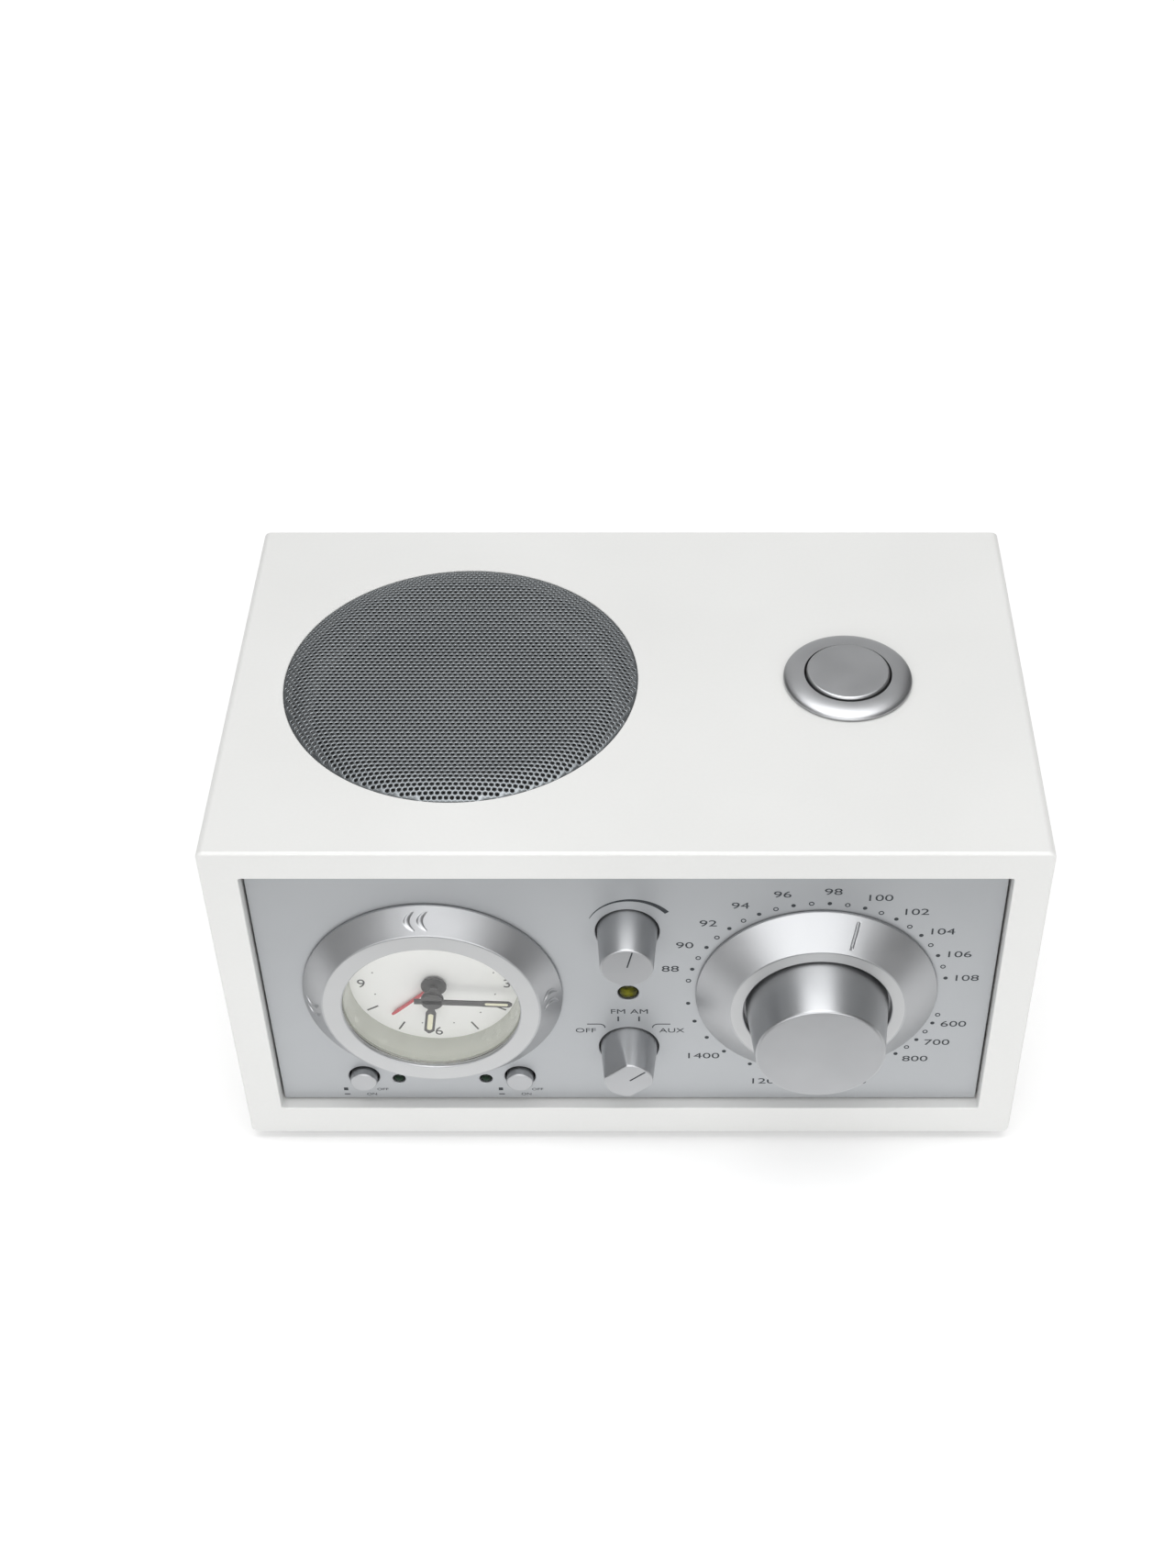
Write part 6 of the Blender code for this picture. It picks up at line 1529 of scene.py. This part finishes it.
def make_antenna_fittings(size, jack):
    """The hexagon nut, the thread and the nylon core of the aerial socket."""
    seat = BACK.far + NUT_SEAT
    loops = [circle(size.x, size.z, HEX_NUT, 6), circle(size.x, size.z, jack.nose + HEX_NUT_GAP)]
    nut = plate(loops, seat, seat + HEX_NUT_HIGH, HEX_NUT_CHAMFER)
    piece("antenna_nut", nut, "steel", "cabinet", "steel")
    thread = threaded_sleeve(size, seat, jack.mouth - THREAD_SHORT)
    piece("antenna_thread", thread, "steel", "cabinet", "steel")
    hole, base, face = jack.bore + CORE_GAP, jack.mouth + NUT_SEAT, jack.mouth + CORE_PROUD
    core = turned_about(size, [
        (hole, base), (CORE_RADIUS, base), (CORE_RADIUS, face, CORE_EDGE), (hole, face, CORE_EDGE),
    ], closed=True)
    piece("antenna_core", core, "white_nylon", "cabinet", "white_nylon")


def make_jacks():
    """Three sockets: each a turned body with a bored nose. The two small ones have a knurled ring nut,
    and the aerial socket has a hexagon nut, a thread and a nylon core round its pin hole."""
    for node, jack in JACKS.items():
        size = reach(node)
        bottom = jack.mouth - jack.deep
        body = turned_about(size, [
            (0, size.near), (jack.body, size.near, JACK_EDGE), (jack.body, BODY_BACK, JACK_EDGE),
            (jack.nose, BODY_BACK), (jack.nose, jack.mouth, NOSE_EDGE),
            (jack.bore + JACK_EDGE, jack.mouth, MOUTH_EASE), (jack.bore, jack.mouth - JACK_EDGE),
            (jack.bore, bottom), (0, bottom),
        ])
        piece(node + "_body", body, "steel", "cabinet", "steel", node)
        if node == "antenna_jack":
            make_antenna_fittings(size, jack)
        else:
            piece(node + "_nut", knurled_nut(size, jack.nose + NUT_GAP), "steel", "cabinet", "steel")


def make_inlet():
    """The mains socket: a body and a collar pierced by the same oblong well, a floor, and two pins with
    round ends."""
    size = reach("mains_inlet")
    well = oblong(size, INLET_SOCKET)
    shape = joined(
        plate([oblong(size, INLET_BODY), well], size.near, BODY_BACK),
        plate([oblong(size, INLET_COLLAR), well], BODY_BACK, size.far, INLET_CHAMFER),
        plate([oblong(size, INLET_SOCKET, INLET_OVERLAP)], size.near, INLET_FLOOR),
    )
    piece("inlet_socket", shape, "black_plastic", "cabinet", "black_plastic", "mains_inlet")
    turn = quarter_turn(PIN_ROWS)
    tip = np.column_stack([INLET_PIN * np.sin(turn), INLET_PIN_END - INLET_PIN * (1 - np.cos(turn))])
    profile = np.vstack([tip, [(INLET_PIN, INLET_FLOOR), (0, INLET_FLOOR)]])
    axes = [SimpleNamespace(x=size.x + side * INLET_PIN_APART, z=size.z) for side in (-1, 1)]
    pins = [turned(profile, around_front(axis), segments=PIN_SEGMENTS) for axis in axes]
    piece("inlet_pins", joined(*pins), "steel", "cabinet", "steel")


# Studio

CAMERA_SPOT = (9.0, -431.6, 493.8)
CAMERA_TILT = 46.5
FRAME_HEIGHT = 1709
FOCAL_PIXELS = 2362
SENSOR = 36.0
SHIFT_PIXELS = -82
CLIP_NEAR = 10.0
FLOOR_HALF = 4000.0
FLOOR_TONE = 0.86
FLOOR_GLOW = (0.3, 0.65)
FLOOR_FADE = (0.45, 1.0)
AMBIENT = 0.58
SCREEN_RADIUS = 900.0
SCREEN_LIFT = 1.0
SCREEN_COLUMNS = 24
SCREEN_ROWS = 12
WHITE = (1.0, 1.0, 1.0, 1.0)
# Each reflected screen: its bearings from straight behind the radio, its elevations and its tone
SCREENS = (
    ("back_low", (-33, 33), (0, 42), 0.68),
    ("back_middle", (-45, 45), (42, 54), 0.2),
    ("back_high", (-45, 45), (54, 66), 0.4),
    ("left_low", (-108, -33), (0, 42), 0.08),
    ("left_high", (-135, -45), (42, 66), 0.08),
    ("right_low", (33, 108), (0, 42), 0.13),
    ("right_high", (45, 135), (42, 66), 0.08),
    ("front_left", (-150, -108), (0, 42), 0.42),
    ("front_right", (108, 150), (0, 42), 0.12),
    ("front_low", (150, 210), (0, 30), 2.5),
    ("front_middle", (150, 210), (30, 42), 0.5),
    ("front_high", (135, 225), (42, 66), 1.8),
    ("overhead", (0, 360), (66, 90), 3.6),
)
# Each reflected card on the floor: its span across, its span from front to back, and its tone
FLOOR_CARDS = (
    ("near", (-108, 108), (-104, -60), 1.2),
    ("far", (-900, 900), (-1300, -150), 0.35),
)


def seen_rays(work):
    """One for the rays that show a background: camera, glossy and transmission rays. Nought for the
    rest."""
    path = add_node(work, "LightPath")
    seen = path.outputs["Is Camera Ray"]
    for ray in ("Is Glossy Ray", "Is Transmission Ray"):
        seen = add_node(work, "Math", {0: seen, 1: path.outputs[ray]}, operation="MAXIMUM").outputs["Value"]
    return seen


def make_floor():
    """A wide pale floor that keeps the shadow and shows white to the eye, more so far from the radio."""
    corner = np.array([(-1, -1), (1, -1), (1, 1), (-1, 1)]) * FLOOR_HALF
    points = np.column_stack([corner[:, 0], corner[:, 1] - FRONT, np.zeros(4)])
    work = new_finish("floor_white", {
        "Base Color": (FLOOR_TONE,) * 3 + (1.0,), "Roughness": 0.9, "Specular IOR Level": 0.0,
        "Emission Color": WHITE,
    })
    away = add_node(work, "VectorMath", {0: work.place}, operation="LENGTH").outputs["Value"]
    glow = between(work, away, *FLOOR_GLOW, *FLOOR_FADE)
    shown = add_node(work, "Math", {0: seen_rays(work), 1: glow}, operation="MULTIPLY")
    connect(work, shown.outputs["Value"], "Emission Strength")
    floor = new_object("floor", (points, [(0, 1, 2, 3)]), work.material)


def make_screen(name, grid, tone):
    """A glowing screen over a grid of points, seen only in reflections."""
    rows, columns = grid.shape[:2]
    shape = (grid.reshape(-1, 3) - (0.0, FRONT, 0.0), grid_faces(rows, columns, wrap_columns=False))
    work = new_finish("screen_" + name, {
        "Base Color": (0.0, 0.0, 0.0, 1.0), "Specular IOR Level": 0.0, "Emission Color": WHITE,
        "Emission Strength": tone,
    })
    screen = new_object("screen_" + name, shape, work.material)
    screen.visible_camera = False
    screen.visible_diffuse = False
    screen.visible_transmission = False
    screen.visible_shadow = False


def make_screens():
    """Screens that give the metal its bright tops and dark sides. Those on a dome round the radio are
    patches of a sphere between two bearings and two elevations, and two cards lie flat on the floor
    in front."""
    for name, bearings, elevations, tone in SCREENS:
        bearing = np.radians(np.linspace(*bearings, SCREEN_COLUMNS))[None]
        elevation = np.radians(np.linspace(*elevations, SCREEN_ROWS))[:, None]
        away = SCREEN_RADIUS * np.cos(elevation)
        x, y, z = away * np.sin(bearing), away * np.cos(bearing), SCREEN_RADIUS * np.sin(elevation)
        make_screen(name, np.stack(np.broadcast_arrays(x, y, z + SCREEN_LIFT), -1), tone)
    for name, across, along, tone in FLOOR_CARDS:
        x, y = np.meshgrid(np.array(across, float), np.array(along, float))
        make_screen("floor_" + name, np.stack([x, y, 0 * x + SCREEN_LIFT], -1), tone)


def make_world():
    """A white surround for the eye, for metal and for glass, and an even, dimmer light for everything
    else."""
    world = bpy.data.worlds.new("studio")
    bpy.context.scene.world = world
    world.use_nodes = True
    work = SimpleNamespace(tree=world.node_tree)
    even, white = (
        add_node(work, "Background", {"Color": WHITE, "Strength": strength}).outputs["Background"]
        for strength in (AMBIENT, 1.0)
    )
    either = add_node(work, "MixShader", {0: seen_rays(work), 1: even, 2: white})
    output = work.tree.nodes["World Output"]
    work.tree.links.new(either.outputs["Shader"], output.inputs["Surface"])


# Each soft lamp: its name, its spot, its width and length, the turn of its face in degrees, and its watts
SOFT_LAMPS = [
    ("overhead", (0, -110, 1250), (1200, 560), (0, 0, 0), 6.0),
    ("front", (0, -1150, 340), (1300, 600), (90, 0, 0), 4.3),
]


def make_lamps():
    """Large soft lamps overhead and on the camera's side."""
    for name, spot, size, turn, watts in SOFT_LAMPS:
        light = bpy.data.lights.new(name, "AREA")
        light.shape = "RECTANGLE"
        light.size, light.size_y = size[0] * MM, size[1] * MM
        light.energy = watts
        lamp = bpy.data.objects.new(name, light)
        lamp.location = np.array(spot) * MM
        lamp.rotation_euler = np.radians(turn)
        bpy.context.scene.collection.objects.link(lamp)


def make_camera():
    """The photograph's view: from above the front, looking down."""
    view = bpy.data.cameras.new("view")
    view.sensor_width = SENSOR
    view.lens = SENSOR * FOCAL_PIXELS / FRAME_HEIGHT
    view.shift_x = SHIFT_PIXELS / FRAME_HEIGHT
    view.clip_start = CLIP_NEAR * MM
    camera = bpy.data.objects.new("camera", view)
    camera.location = np.array(CAMERA_SPOT) * MM
    camera.rotation_euler = (math.radians(CAMERA_TILT), 0, 0)
    bpy.context.scene.collection.objects.link(camera)
    bpy.context.scene.camera = camera


finish_cad_nodes()
make_cabinet()
make_grille()
make_front_panel()
make_bezel()
make_clock_face()
make_hands()
make_tuning_dial()
make_tuning_scale()
make_control_prints()
make_control_knobs()
make_buttons_and_lamps()
make_snooze()
make_feet_and_port()
make_back_panel()
make_back_screws()
make_jacks()
make_inlet()
make_floor()
make_screens()
make_world()
make_lamps()
make_camera()
bpy.context.scene.view_settings.view_transform = "Standard"
